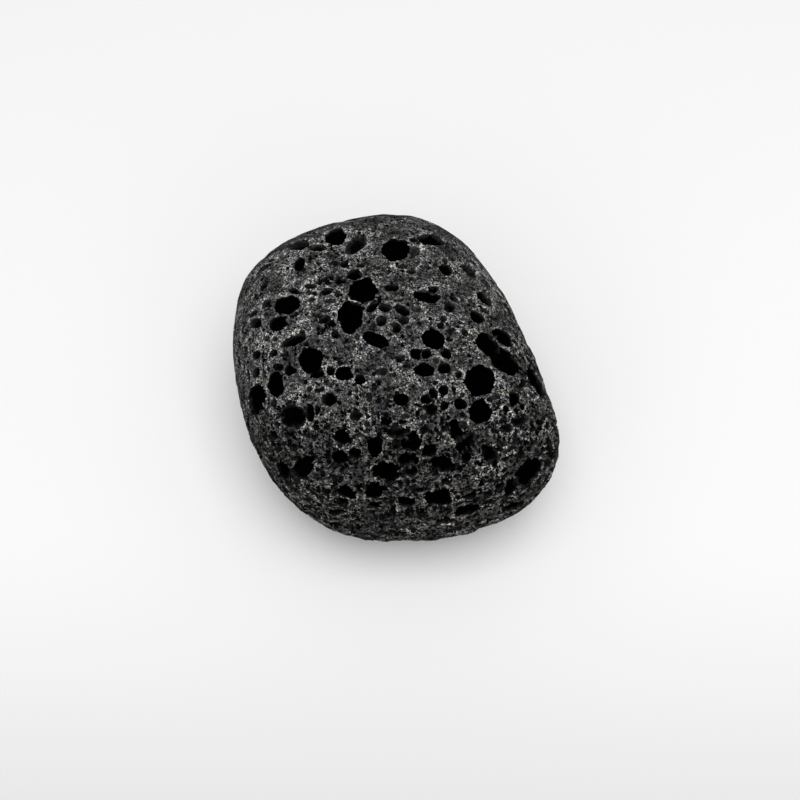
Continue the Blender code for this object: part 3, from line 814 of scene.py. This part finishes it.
class Ink(Enum):
    """The colours of the lava and of its studio, as linear red, green and blue."""

    DARK_MINERAL = (0.004, 0.004, 0.004)
    GROUNDMASS = (0.028, 0.028, 0.028)
    GREY_MINERAL = (0.080, 0.080, 0.079)
    GREY_GRAIN = (0.215, 0.215, 0.212)
    PALE_GRAIN = (0.75, 0.75, 0.73)
    COOL_TINT = (0.92, 1.0, 1.08)
    WARM_TINT = (1.08, 1.0, 0.90)
    # Painted shade: near black, for the deep parts of the bubble walls and for the pinholes.
    PAINTED_HOLE_SHADE = (0.0003, 0.0003, 0.0003)
    # Glassy vesicle lining, made darker partly as painted shade of the hollows.
    GLASSY_AND_SHADED_WALL = (0.0095, 0.0105, 0.0112)
    DUSTY_WALL = (0.040, 0.042, 0.041)
    FLOOR = (0.83, 0.83, 0.83)
    # Painted shade: the floor towards the front, where the light falls off.
    PAINTED_SHADE_FLOOR = (0.60, 0.60, 0.60)

    def rgba(self) -> tuple[float, float, float, float]:
        """The colour with full opacity."""
        return (*self.value, 1.0)


class NodeSheet:
    """A material's node tree, with short calls to add and join its nodes.

    Wherever a call takes a source, it is a socket to link or a plain value to set.
    """

    def __init__(self, name: str) -> None:
        """Makes the material, with its shader and output ready.

        Args:
            name: the material's name.
        """
        self.material = bpy.data.materials.new(name)
        self.material.use_nodes = True
        self.tree = self.material.node_tree
        self.shader = self.tree.nodes["Principled BSDF"]

    def node(self, kind: str, **settings: object) -> bpy.types.Node:
        """Adds a node.

        Args:
            kind: the node's type.
            settings: its properties.

        Returns:
            The node.
        """
        made = self.tree.nodes.new(kind)
        for name, value in settings.items():
            setattr(made, name, value)
        return made

    def join(self, source: object, socket: Socket) -> None:
        """Links a source to a socket, or sets the socket to it.

        Args:
            source: a socket or a plain value.
            socket: the input that gets it.
        """
        if isinstance(source, Socket):
            self.tree.links.new(source, socket)
        else:
            socket.default_value = source

    def maths(self, operation: str, first: object, second: object = 0.0, third: object = 0.0) -> Socket:
        """One sum of the Math node.

        Args:
            operation: the node's own name for the sum.
            first: the first source.
            second: the second.
            third: the third, which only some sums read.

        Returns:
            The result.
        """
        made = self.node("ShaderNodeMath", operation=operation)
        for source, socket in zip((first, second, third), made.inputs):
            self.join(source, socket)
        return made.outputs[0]

    def added(self, value: object, gain: object, base: object) -> Socket:
        """value * gain + base."""
        return self.maths("MULTIPLY_ADD", value, gain, base)

    def ranged(self, value: object, edges: Pair, ends: Pair = (0.0, 1.0)) -> Socket:
        """A value carried smoothly from one range to another, and held at its ends.

        Args:
            value: the source.
            edges: where the smooth S starts and stops. The first may be the larger.
            ends: the results there.

        Returns:
            The result.
        """
        made = self.node("ShaderNodeMapRange", interpolation_type="SMOOTHSTEP")
        for source, socket in zip((value, *edges, *ends), made.inputs):
            self.join(source, socket)
        return made.outputs[0]

    def mixed(self, share: object, first: object, second: object, blend: str = "MIX") -> Socket:
        """Two colours mixed.

        Args:
            share: 0 gives the first and 1 the second.
            first: a colour.
            second: a colour.
            blend: how the second is laid over the first.

        Returns:
            The mixed colour.
        """
        made = self.node("ShaderNodeMix", data_type="RGBA", blend_type=blend)
        colour_inputs = [socket for socket in made.inputs if socket.type == "RGBA"]
        self.join(share, made.inputs[0])
        self.join(first, colour_inputs[0])
        self.join(second, colour_inputs[1])
        return next(socket for socket in made.outputs if socket.type == "RGBA")

    def sized(self, kind: str, place: object, size_mm: float) -> bpy.types.Node:
        """Adds a pattern node.

        Args:
            kind: the pattern's node type.
            place: what it is laid on.
            size_mm: the size of its features.

        Returns:
            The node.
        """
        made = self.node(kind)
        self.join(place, made.inputs["Vector"])
        made.inputs["Scale"].default_value = 1.0 / (size_mm * MM)
        return made

    def noise(self, place: object, size_mm: float, detail: float, roughness: float) -> Socket:
        """A cloudy noise about 0.5.

        Args:
            place: what it is laid on.
            size_mm: the size of its features.
            detail: how many finer noises are added.
            roughness: how strong the finer ones are.

        Returns:
            The noise.
        """
        made = self.sized("ShaderNodeTexNoise", place, size_mm)
        made.inputs["Detail"].default_value = detail
        made.inputs["Roughness"].default_value = roughness
        return made.outputs["Fac"]

    def warped(self, place: object, size_mm: float, shift_mm: float) -> Socket:
        """A place shifted by a coloured noise, so that what is laid on it gets ragged edges.

        Args:
            place: the place to shift.
            size_mm: the size of the noise's features.
            shift_mm: how far a full colour shifts it.

        Returns:
            The shifted place.
        """
        made = self.sized("ShaderNodeTexNoise", place, size_mm)
        shift = self.node("ShaderNodeVectorMath", operation="MULTIPLY_ADD")
        self.join(made.outputs["Color"], shift.inputs[0])
        shift.inputs[1].default_value = (shift_mm * MM,) * 3
        self.join(place, shift.inputs[2])
        return shift.outputs[0]

    def cells(self, place: object, size_mm: float) -> tuple[Socket, Socket]:
        """Random cells.

        Args:
            place: what they are laid on.
            size_mm: their size.

        Returns:
            The way to a cell's middle as a share of the size, and one dice throw for each cell.
        """
        made = self.sized("ShaderNodeTexVoronoi", place, size_mm)
        parted = self.node("ShaderNodeSeparateColor")
        self.join(made.outputs["Color"], parted.inputs[0])
        return made.outputs["Distance"], parted.outputs[0]

    def attribute(self, name: str) -> Socket:
        """A number stored on the mesh's vertices."""
        return self.node("ShaderNodeAttribute", attribute_name=name).outputs["Fac"]

    def ramp(self, value: object, stops: tuple[tuple[float, Ink], ...]) -> Socket:
        """A colour ramp.

        Args:
            value: the source.
            stops: places from 0 to 1, in order, each with its ink.

        Returns:
            The colour.
        """
        made = self.node("ShaderNodeValToRGB")
        self.join(value, made.inputs[0])
        ramp = made.color_ramp
        while len(ramp.elements) < len(stops):
            ramp.elements.new(0.5)
        for element, (place, ink) in zip(ramp.elements, stops):
            element.position = place
            element.color = ink.rgba()
        return made.outputs[0]


@dataclass(frozen=True)
class LavaFinish:
    """Abraded vesicular lava: a salt-and-pepper skin of mineral grains, and darker, glassier bubble walls.

    The skin's tone is a sum: a base, dice throws for grains of two sizes, cloudy noises of two sizes, and a
    little more at the rims of mouths, partly for wear and partly as a painted highlight. A ramp of inks turns
    it into colour. The palest grains are laid over it, and the smallest holes as painted shade, near black.
    Below the skin the depth leads over to the walls' inks, darkened partly as painted shade and black with
    depth as painted shade. Where the rock is coarse, there are more holes and fewer pale grains. A pattern's
    size, detail and roughness stand together.
    """

    grain_mm: float = 0.15
    fine_grain_mm: float = 0.085
    cluster_noise: Triple = (2.4, 3.0, 0.6)
    cloud_noise: Triple = (0.70, 4.0, 0.65)
    base_tone: float = 0.41
    grain_clusters: Pair = (0.36, 0.60)
    grain_gains: Pair = (0.38, 0.59)
    coarse_grain_gain: float = -0.06
    cloud_gain: float = 1.0
    cluster_gain: float = 0.75
    rim_wear_and_highlight_gain: float = 0.16
    coarse_gain: float = -0.02
    even_coarseness: float = 0.6
    tones: tuple[tuple[float, Ink], ...] = (
        (0.05, Ink.DARK_MINERAL),
        (0.28, Ink.GROUNDMASS),
        (0.54, Ink.GREY_MINERAL),
        (0.76, Ink.GREY_GRAIN),
        (1.00, Ink.PALE_GRAIN),
    )
    tint_mm: float = 0.24
    coarse_warmth: float = 0.15

    speck_mm: float = 0.19
    speck_clusters: Pair = (0.50, 0.74)
    speck_level: float = 0.96
    speck_cluster_gain: float = -0.19
    speck_coarse_gain: float = 0.03
    speck_fade: Pair = (0.0, 0.14)
    speck_strength: float = 0.8
    speck_edge: Pair = (0.52, 0.30)

    pinhole_mm: Pair = (0.58, 0.31)
    pinhole_warp_mm: Pair = (0.35, 0.22)
    pinhole_gain: float = 0.70
    pinhole_base: float = -0.27
    pinhole_coarse_gain: float = 0.14
    pinhole_edge: Pair = (-0.02, 0.05)
    pinhole_shade_strength: float = 0.98
    grit_noise: Triple = (0.42, 3.0, 0.6)
    grit_coarse_gain: float = -0.07
    grit_edge: Pair = (0.40, 0.32)
    grit_strength: float = 0.9

    wall_mm: Pair = (0.04, 0.20)
    # The depths over which painted shade darkens the bubble walls to near black.
    painted_shade_depth_mm: Pair = (0.12, 0.70)
    skin_on_walls: float = 0.10
    dusty_clouds: Pair = (0.50, 0.70)

    skin_roughness: float = 0.90
    wall_roughness: float = 0.70
    specular: float = 0.01
    grain_relief_mm: float = 0.07
    pinhole_relief_mm: float = 0.22

    def material(self) -> bpy.types.Material:
        """Builds the material.

        Returns:
            The material, whose colour, roughness and bump are read from object coordinates, and from the
            depth below the skin, the closeness to a rim and the coarseness that are stored on the mesh.
        """
        sheet = NodeSheet("vesicular_lava")
        place = sheet.node("ShaderNodeTexCoord").outputs["Object"]
        coarse = sheet.attribute("coarse")
        wall = sheet.ranged(sheet.attribute("pit_depth"), self.wall_mm)
        cluster = sheet.noise(place, *self.cluster_noise)
        cloud = sheet.noise(place, *self.cloud_noise)
        grain_away, grain_throw = sheet.cells(place, self.grain_mm)
        tone = self.tone(sheet, place, grain_throw, cluster, cloud, coarse)
        holes = self.pinholes(sheet, place, coarse)
        skin = self.skin_colour(sheet, place, tone, cluster, coarse)
        # Painted shade: the pinholes, too small for the mesh, are painted near black as their shaded hollows.
        skin = sheet.mixed(sheet.maths("MULTIPLY", holes, self.pinhole_shade_strength), skin, Ink.PAINTED_HOLE_SHADE.rgba())
        # The walls' colour is the glassy, dusty lining, darkened partly as painted shade.
        colour = sheet.mixed(wall, skin, self.wall_colour(sheet, skin, cloud))
        sheet.join(colour, sheet.shader.inputs["Base Color"])
        rough = sheet.added(wall, self.wall_roughness - self.skin_roughness, self.skin_roughness)
        sheet.join(rough, sheet.shader.inputs["Roughness"])
        sheet.shader.inputs["Specular IOR Level"].default_value = self.specular
        self.add_bump(sheet, tone, grain_away, holes)
        return sheet.material

    def tone(
        self, sheet: NodeSheet, place: Socket, grain_throw: Socket, cluster: Socket, cloud: Socket,
        coarse: Socket,
    ) -> Socket:
        """How pale each spot of the skin is.

        Args:
            sheet: the material's nodes.
            place: where the spot is.
            grain_throw: the dice throw of the spot's grain.
            cluster: the wide noise.
            cloud: the narrow noise.
            coarse: the coarseness.

        Returns:
            The tone, mostly from 0 to 1.
        """
        fine_throw = sheet.cells(place, self.fine_grain_mm)[1]
        throws = sheet.maths("SUBTRACT", sheet.maths("ADD", fine_throw, grain_throw), 1.0)
        steady = sheet.ranged(cluster, self.grain_clusters, self.grain_gains)
        tone = sheet.added(throws, sheet.added(coarse, self.coarse_grain_gain, steady), self.base_tone)
        tone = sheet.added(sheet.maths("SUBTRACT", cloud, 0.5), self.cloud_gain, tone)
        tone = sheet.added(sheet.maths("SUBTRACT", cluster, 0.5), self.cluster_gain, tone)
        # Rims are lighter, partly as wear and partly as a painted highlight where thin rims catch light.
        tone = sheet.added(sheet.attribute("rim"), self.rim_wear_and_highlight_gain, tone)
        return sheet.added(sheet.maths("SUBTRACT", coarse, self.even_coarseness), self.coarse_gain, tone)

    def skin_colour(
        self, sheet: NodeSheet, place: Socket, tone: Socket, cluster: Socket, coarse: Socket
    ) -> Socket:
        """The worn skin's colour: the tone's ink, the palest grains over it, and each grain tinted a little.

        Args:
            sheet: the material's nodes.
            place: where the spot is.
            tone: how pale it is.
            cluster: the wide noise.
            coarse: the coarseness.

        Returns:
            The colour.
        """
        specks = self.specks(sheet, place, cluster, coarse)
        skin = sheet.mixed(specks, sheet.ramp(tone, self.tones), Ink.PALE_GRAIN.rgba())
        warmth = sheet.added(coarse, self.coarse_warmth, sheet.cells(place, self.tint_mm)[1])
        tint = sheet.mixed(warmth, Ink.COOL_TINT.rgba(), Ink.WARM_TINT.rgba())
        return sheet.mixed(1.0, skin, tint, "MULTIPLY")

    def wall_colour(self, sheet: NodeSheet, skin: Socket, cloud: Socket) -> Socket:
        """The walls' colour: glassy lining partly painted as shade, dusty in patches, painted shade black
        with depth.

        Args:
            sheet: the material's nodes.
            skin: the skin's colour.
            cloud: the narrow noise, which lays out the dusty patches.

        Returns:
            The colour.
        """
        inside = sheet.mixed(self.skin_on_walls, Ink.GLASSY_AND_SHADED_WALL.rgba(), skin)
        inside = sheet.mixed(sheet.ranged(cloud, self.dusty_clouds), inside, Ink.DUSTY_WALL.rgba())
        # Painted shade: the walls grow near black with depth, where light doesn't reach.
        depth_shade = sheet.ranged(sheet.attribute("pit_depth"), self.painted_shade_depth_mm)
        return sheet.mixed(depth_shade, inside, Ink.PAINTED_HOLE_SHADE.rgba())

    def specks(self, sheet: NodeSheet, place: Socket, cluster: Socket, coarse: Socket) -> Socket:
        """Where the palest grains show: small dots, rare in general and common inside clusters.

        Args:
            sheet: the material's nodes.
            place: where the spot is.
            cluster: the wide noise.
            coarse: the coarseness.

        Returns:
            0 beside the dots and up to speck_strength on them.
        """
        away, throw = sheet.cells(place, self.speck_mm)
        crowded = sheet.ranged(cluster, self.speck_clusters)
        level = sheet.added(crowded, self.speck_cluster_gain, self.speck_level)
        level = sheet.added(coarse, self.speck_coarse_gain, level)
        over = sheet.maths("SUBTRACT", throw, level)
        picked = sheet.ranged(over, self.speck_fade, (0.0, self.speck_strength))
        return sheet.maths("MULTIPLY", picked, sheet.ranged(away, self.speck_edge))

    def pinholes(self, sheet: NodeSheet, place: Socket, coarse: Socket) -> Socket:
        """Where the smallest bubbles open: round holes of two sizes and ragged ones.

        Args:
            sheet: the material's nodes.
            place: where the spot is.
            coarse: the coarseness, which makes holes larger and more common.

        Returns:
            0 on the skin and up to 1 in a hole.
        """
        gritty = sheet.added(coarse, self.grit_coarse_gain, sheet.noise(place, *self.grit_noise))
        holes = sheet.ranged(gritty, self.grit_edge, (0.0, self.grit_strength))
        shifted = sheet.warped(place, *self.pinhole_warp_mm)
        for size in self.pinhole_mm:
            away, throw = sheet.cells(shifted, size)
            edge = sheet.added(throw, self.pinhole_gain, self.pinhole_base)
            edge = sheet.added(coarse, self.pinhole_coarse_gain, edge)
            found = sheet.ranged(sheet.maths("SUBTRACT", edge, away), self.pinhole_edge)
            holes = sheet.maths("MAXIMUM", holes, found)
        return holes

    def add_bump(self, sheet: NodeSheet, tone: Socket, grain_away: Socket, holes: Socket) -> None:
        """Raises the grains and sinks the pinholes in the shader's normal.

        Args:
            sheet: the material's nodes.
            tone: how pale each spot is; pale grains stand proud.
            grain_away: the way to the grain's middle.
            holes: where the pinholes are.
        """
        relief = sheet.maths("MULTIPLY", tone, self.grain_relief_mm)
        relief = sheet.added(grain_away, -self.grain_relief_mm, relief)
        relief = sheet.added(holes, -self.pinhole_relief_mm, relief)
        bump = sheet.node("ShaderNodeBump")
        bump.inputs["Strength"].default_value = 1.0
        bump.inputs["Distance"].default_value = MM
        sheet.join(relief, bump.inputs["Height"])
        sheet.join(bump.outputs["Normal"], sheet.shader.inputs["Normal"])


@dataclass
class LavaStone:
    """The whole stone: one closed surface from the worn skin down into every opened vesicle.

    The rich fields say how common the fine bubbles are, the coarse ones over which heights and widths of the
    layout plane the rock grows coarse, and the island ones how the six squares of the unwrapping are filled.
    """

    form: StoneForm = field(default_factory=StoneForm)
    walls: BubbleWalls = field(default_factory=BubbleWalls)
    bubbles: tuple[FineBubbles, ...] = (
        FineBubbles(pitch=1.5, radius=(0.28, 0.62), share=0.62, seed=21),
        FineBubbles(pitch=1.1, radius=(0.22, 0.50), share=0.80, seed=77, coarse_share=0.7),
        FineBubbles(pitch=0.75, radius=(0.16, 0.35), share=0.85, seed=43, warp=0.06, warp_wavelength=0.5),
    )
    finish: LavaFinish = field(default_factory=LavaFinish)
    rich_noise: WavyNoise = WavyNoise(seed=3, wavelength=9.0)
    rich_base: float = 0.70
    rich_swing: float = 0.30
    rich_coarse: float = 0.60
    rich_limits: Pair = (0.25, 1.5)
    foot_ring: Pair = (0.30, 1.0)
    foot_share: float = 0.65
    rim_care: float = 0.75
    coarse_rims: float = 0.45
    coarse_below: Pair = (2.0, -8.0)
    coarse_beyond: Pair = (10.0, 15.0)
    coarse_right: float = 0.8
    skin_relief: tuple[tuple[WavyNoise, float], ...] = (
        (WavyNoise(seed=13, wavelength=3.2), 0.06),
        (WavyNoise(seed=14, wavelength=1.3), 0.035),
        (WavyNoise(seed=15, wavelength=0.6), 0.020),
    )
    smooth_relief: float = 0.3
    cuts: int = 320
    quick_cuts: int = 150
    most_triangles: int = 198_000
    island_half: float = 0.48
    island_overlap: float = 1.04
    least_ahead: float = 0.2

    def build(self) -> bpy.types.Object:
        """Makes the stone's mesh, thins it, stores its depths and its unwrapping, and dresses it.

        Returns:
            The finished piece.
        """
        layout = Layout(self.form)
        shown = ShowVesicles(layout).mouths()
        scattered = BackVesicles(layout).mouths(shown)
        LOG.info("vesicles: %d on the show side, %d behind", len(shown.points), len(scattered.points))
        mouths = shown.joined(scattered)
        directions, quads = SphereGrid(self.cuts).directions()
        skin = self.relieved(self.form.skin(directions))
        coarse = self.coarseness(skin)
        points, rims = self.walls.carve(skin, mouths, coarse)
        for bubbles in self.bubbles:
            inward = -surface_normals(points, quads)
            rich = self.richness(points, coarse, rims) * (1.0 - bubbles.coarse_share * (1.0 - coarse))
            points = points + inward * bubbles.travel(points, inward, rich)[:, None]
        piece = self.thinned(add_mesh("lava_rock_full", self.held_in(points) * MM, quads))
        self.store_numbers(piece, mouths)
        self.unwrap(piece)
        piece.data.shade_smooth()
        piece.data.materials.append(self.finish.material())
        return piece

    def richness(self, points: Array, coarse: Array, rims: Array) -> Array:
        """How many of the fine bubbles there are: more where it is coarse, fewer at rims and on the foot.

        Args:
            points: surface points.
            coarse: their coarseness.
            rims: how near each is to a mouth's rim.

        Returns:
            A share for each point, from 0 to a little over 1.
        """
        rich = self.rich_base + self.rich_swing * self.rich_noise.at(points) + self.rich_coarse * coarse
        rich = np.clip(rich, *self.rich_limits)
        rich *= self.foot_share + (1.0 - self.foot_share) * smooth_step(*self.foot_ring, points[:, 2])
        return rich * (1.0 - (self.rim_care - self.coarse_rims * coarse) * rims)

    def relieved(self, skin: Array) -> Array:
        """The skin with its low relief: a sum of noises, lower on the smoothly worn side.

        Args:
            skin: points of the smooth skin.

        Returns:
            The points moved out or in a little.
        """
        relief = sum(height * noise.at(skin) for noise, height in self.skin_relief)
        relief = relief * (self.smooth_relief + (1.0 - self.smooth_relief) * self.coarseness(skin))
        return skin + unit(skin - np.array(self.form.centre)) * relief[:, None]

    def depths(self, points: Array) -> Array:
        """How far points lie below the relieved skin, along their own lines to the centre.

        Args:
            points: places in the stone.

        Returns:
            Their depths, below zero outside the skin.
        """
        centre = np.array(self.form.centre)
        above = self.relieved(self.form.skin(unit(points - centre)))
        return np.linalg.norm(above - centre, axis=1) - np.linalg.norm(points - centre, axis=1)

    def held_in(self, points: Array) -> Array:
        """Points brought back to the relieved skin where they stand out of it, and to the foot's level.

        Args:
            points: the carved surface.

        Returns:
            The points, held.
        """
        inward = -unit(points - np.array(self.form.centre))
        held = points + inward * np.maximum(0.0, -self.depths(points))[:, None]
        held[:, 2] = np.maximum(held[:, 2], 0.0)
        return held

    def thinned(self, full: bpy.types.Object) -> bpy.types.Object:
        """The stone's mesh with fewer triangles: edges whose loss changes the shape least go first.

        Args:
            full: the object with the full grid, which is removed.

        Returns:
            The thinner object.
        """
        thinning = full.modifiers.new("thinning", "DECIMATE")
        thinning.use_collapse_triangulate = True
        thinning.ratio = min(1.0, self.most_triangles / (2.0 * len(full.data.polygons)))
        shown = full.evaluated_get(bpy.context.evaluated_depsgraph_get())
        mesh = bpy.data.meshes.new_from_object(shown)
        bpy.data.objects.remove(full, do_unlink=True)
        mesh.name = SURFACE
        piece = bpy.data.objects.new(SURFACE, mesh)
        bpy.context.scene.collection.objects.link(piece)
        return piece

    def store_numbers(self, piece: bpy.types.Object, mouths: Mouths) -> None:
        """Stores three numbers on each vertex, which the material reads.

        They are pit_depth, how far the vertex lies below the uncut skin in millimetres, rim, which is one
        at a mouth's edge and falls to nothing over rim_width outside it, and coarse.

        Args:
            piece: the stone.
            mouths: the vesicles whose rims count.
        """
        points = np.empty(len(piece.data.vertices) * 3, np.float32)
        piece.data.vertices.foreach_get("co", points)
        points = points.reshape(-1, 3) / MM
        depth = np.maximum(0.0, self.depths(points))
        nearest = np.full(len(points), self.walls.rim_width)
        for mouth in mouths.each():
            reach = np.linalg.norm(mouth.long_axis) + self.walls.rim_width
            near, along, beside = mouth.around(points, reach)
            away = np.maximum(0.0, np.hypot(along, beside) - 1.0) * float(np.linalg.norm(mouth.wide_axis))
            nearest[near] = np.minimum(nearest[near], away)
        self._store(piece, "pit_depth", depth)
        self._store(piece, "rim", (1.0 - nearest / self.walls.rim_width) ** 2)
        self._store(piece, "coarse", self.coarseness(points))

    def coarseness(self, points: Array) -> Array:
        """The rock's coarseness, which grows down the layout plane and towards its right edge.

        Args:
            points: places in the stone.

        Returns:
            0 on the smoothly worn upper side, and up to 1.
        """
        across, up, _ = Layout(self.form).axes()
        offset = points - np.array(self.form.centre)
        below = smooth_step(*self.coarse_below, offset @ up)
        return np.maximum(below, self.coarse_right * smooth_step(*self.coarse_beyond, offset @ across))

    def _store(self, piece: bpy.types.Object, name: str, values: Array) -> None:
        """Stores one number for each vertex."""
        stored = piece.data.attributes.new(name, "FLOAT", "POINT")
        stored.data.foreach_set("value", values.astype(np.float32))

    def unwrap(self, piece: bpy.types.Object) -> None:
        """Lays the surface out as six squares, three beside each other in two rows.

        A triangle goes to the cube face that its middle faces from the stone's centre, and its corners get
        atan(side / ahead) * 4 / pi of that face.

        Args:
            piece: the stone.
        """
        mesh = piece.data
        points = np.empty(len(mesh.vertices) * 3, np.float32)
        mesh.vertices.foreach_get("co", points)
        directions = unit(points.reshape(-1, 3) / MM - np.array(self.form.centre))
        corners = np.empty(len(mesh.loops), np.int32)
        mesh.loops.foreach_get("vertex_index", corners)
        corners = corners.reshape(-1, 3)
        middle = directions[corners].sum(axis=1)
        axis = np.abs(middle).argmax(axis=1)
        sign = np.sign(np.take_along_axis(middle, axis[:, None], 1))
        around = np.array([(1, 2), (2, 0), (0, 1)])[axis]
        faced = directions[corners]
        ahead = np.take_along_axis(faced, axis[:, None, None], 2)[..., 0] * sign
        sides = np.stack([np.take_along_axis(faced, around[:, None, k:k + 1], 2)[..., 0] for k in (0, 1)], -1)
        flat = np.arctan2(sides, np.maximum(ahead, self.least_ahead)[..., None]) * 4.0 / math.pi
        flat = np.clip(flat, -self.island_overlap, self.island_overlap)
        cell = np.stack([axis, (sign[:, 0] > 0).astype(int)], axis=-1)
        place = (cell[:, None, :] + 0.5 + self.island_half * flat) / np.array([3.0, 2.0])
        layer = mesh.uv_layers.new(name="OFBake")
        layer.data.foreach_set("uv", place.astype(np.float32).ravel())


@dataclass(frozen=True)
class Studio:
    """A plain pale floor, an even sky, a large soft key light, a low soft fill light and the camera."""

    aim: Triple = (0.756, -2.713, 11.28)
    height_deg: float = 60.0
    distance: float = 160.0
    frame_width: float = 88.9
    sensor_width: float = 36.0
    seen_range: Pair = (10.0, 10_000.0)
    floor_size: float = 3000.0
    floor_shade: Pair = (-70.0, -10.0)
    floor_roughness: float = 0.9
    floor_specular: float = 0.1
    sky_strength: float = 0.52
    key_power: float = 0.71
    key_size: float = 250.0
    key_place: Triple = (20.0, -65.0, 360.0)
    fill_strength: float = 1.22
    fill_height_deg: float = 31.0
    fill_spread_deg: float = 85.0

    def build(self) -> None:
        """Adds the floor, the lights and the camera."""
        self.add_floor()
        self.add_lights()
        self.add_camera()
        LOG.info("studio: floor, lights and camera")

    def add_floor(self) -> None:
        """Adds the floor, level with the stone's foot and a little darker towards the front."""
        half = 0.5 * self.floor_size * MM
        corners = np.array([(-half, -half, 0.0), (half, -half, 0.0), (half, half, 0.0), (-half, half, 0.0)])
        floor = add_mesh("studio_floor", corners, np.array([[0, 1, 2, 3]]))
        sheet = NodeSheet("studio_floor")
        parted = sheet.node("ShaderNodeSeparateXYZ")
        sheet.join(sheet.node("ShaderNodeTexCoord").outputs["Object"], parted.inputs[0])
        # Painted shade: the floor's colour darkens towards the front.
        near, far = (edge * MM for edge in self.floor_shade)
        share = sheet.ranged(parted.outputs["Y"], (near, far))
        shade = sheet.mixed(share, Ink.PAINTED_SHADE_FLOOR.rgba(), Ink.FLOOR.rgba())
        sheet.join(shade, sheet.shader.inputs["Base Color"])
        sheet.shader.inputs["Roughness"].default_value = self.floor_roughness
        sheet.shader.inputs["Specular IOR Level"].default_value = self.floor_specular
        floor.data.materials.append(sheet.material)

    def add_lights(self) -> None:
        """Adds the even sky, the large soft key light overhead and the low soft fill light at the front."""
        world = bpy.data.worlds.new("studio_sky")
        world.use_nodes = True
        sky = world.node_tree.nodes["Background"]
        sky.inputs["Color"].default_value = (1.0, 1.0, 1.0, 1.0)
        sky.inputs["Strength"].default_value = self.sky_strength
        bpy.context.scene.world = world
        light = bpy.data.lights.new("soft_key", "AREA")
        light.shape = "SQUARE"
        light.size = self.key_size * MM
        light.energy = self.key_power
        key = bpy.data.objects.new("soft_key", light)
        key.location = Vector(self.key_place) * MM
        key.rotation_euler = (-key.location).to_track_quat("-Z", "Y").to_euler()
        bpy.context.scene.collection.objects.link(key)
        low = bpy.data.lights.new("low_fill", "SUN")
        low.energy = self.fill_strength
        low.angle = math.radians(self.fill_spread_deg)
        fill = bpy.data.objects.new("low_fill", low)
        fill.rotation_euler = (math.radians(90.0 - self.fill_height_deg), 0.0, 0.0)
        bpy.context.scene.collection.objects.link(fill)

    def add_camera(self) -> None:
        """Adds the camera, aimed so that the stone stands a little above the middle of the frame."""
        tilt = math.radians(self.height_deg)
        back = Vector((0.0, -math.cos(tilt), math.sin(tilt)))
        data = bpy.data.cameras.new("studio_camera")
        data.sensor_width = self.sensor_width
        data.lens = self.sensor_width * self.distance / self.frame_width
        data.clip_start, data.clip_end = (reach * MM for reach in self.seen_range)
        camera = bpy.data.objects.new("studio_camera", data)
        camera.location = (Vector(self.aim) + back * self.distance) * MM
        camera.rotation_euler = (-back).to_track_quat("-Z", "Y").to_euler()
        bpy.context.scene.collection.objects.link(camera)
        bpy.context.scene.camera = camera


def main() -> None:
    """Builds the stone and its studio."""
    logging.basicConfig(level=logging.INFO, format="%(name)s: %(message)s")
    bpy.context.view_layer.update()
    stone = LavaStone().build()
    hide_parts(NODE)
    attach(stone, "root")
    LOG.info("%s: %d triangles", stone.name, len(stone.data.polygons))
    Studio().build()
    bpy.context.scene.view_settings.view_transform = "Standard"


if __name__ == "__main__":
    main()
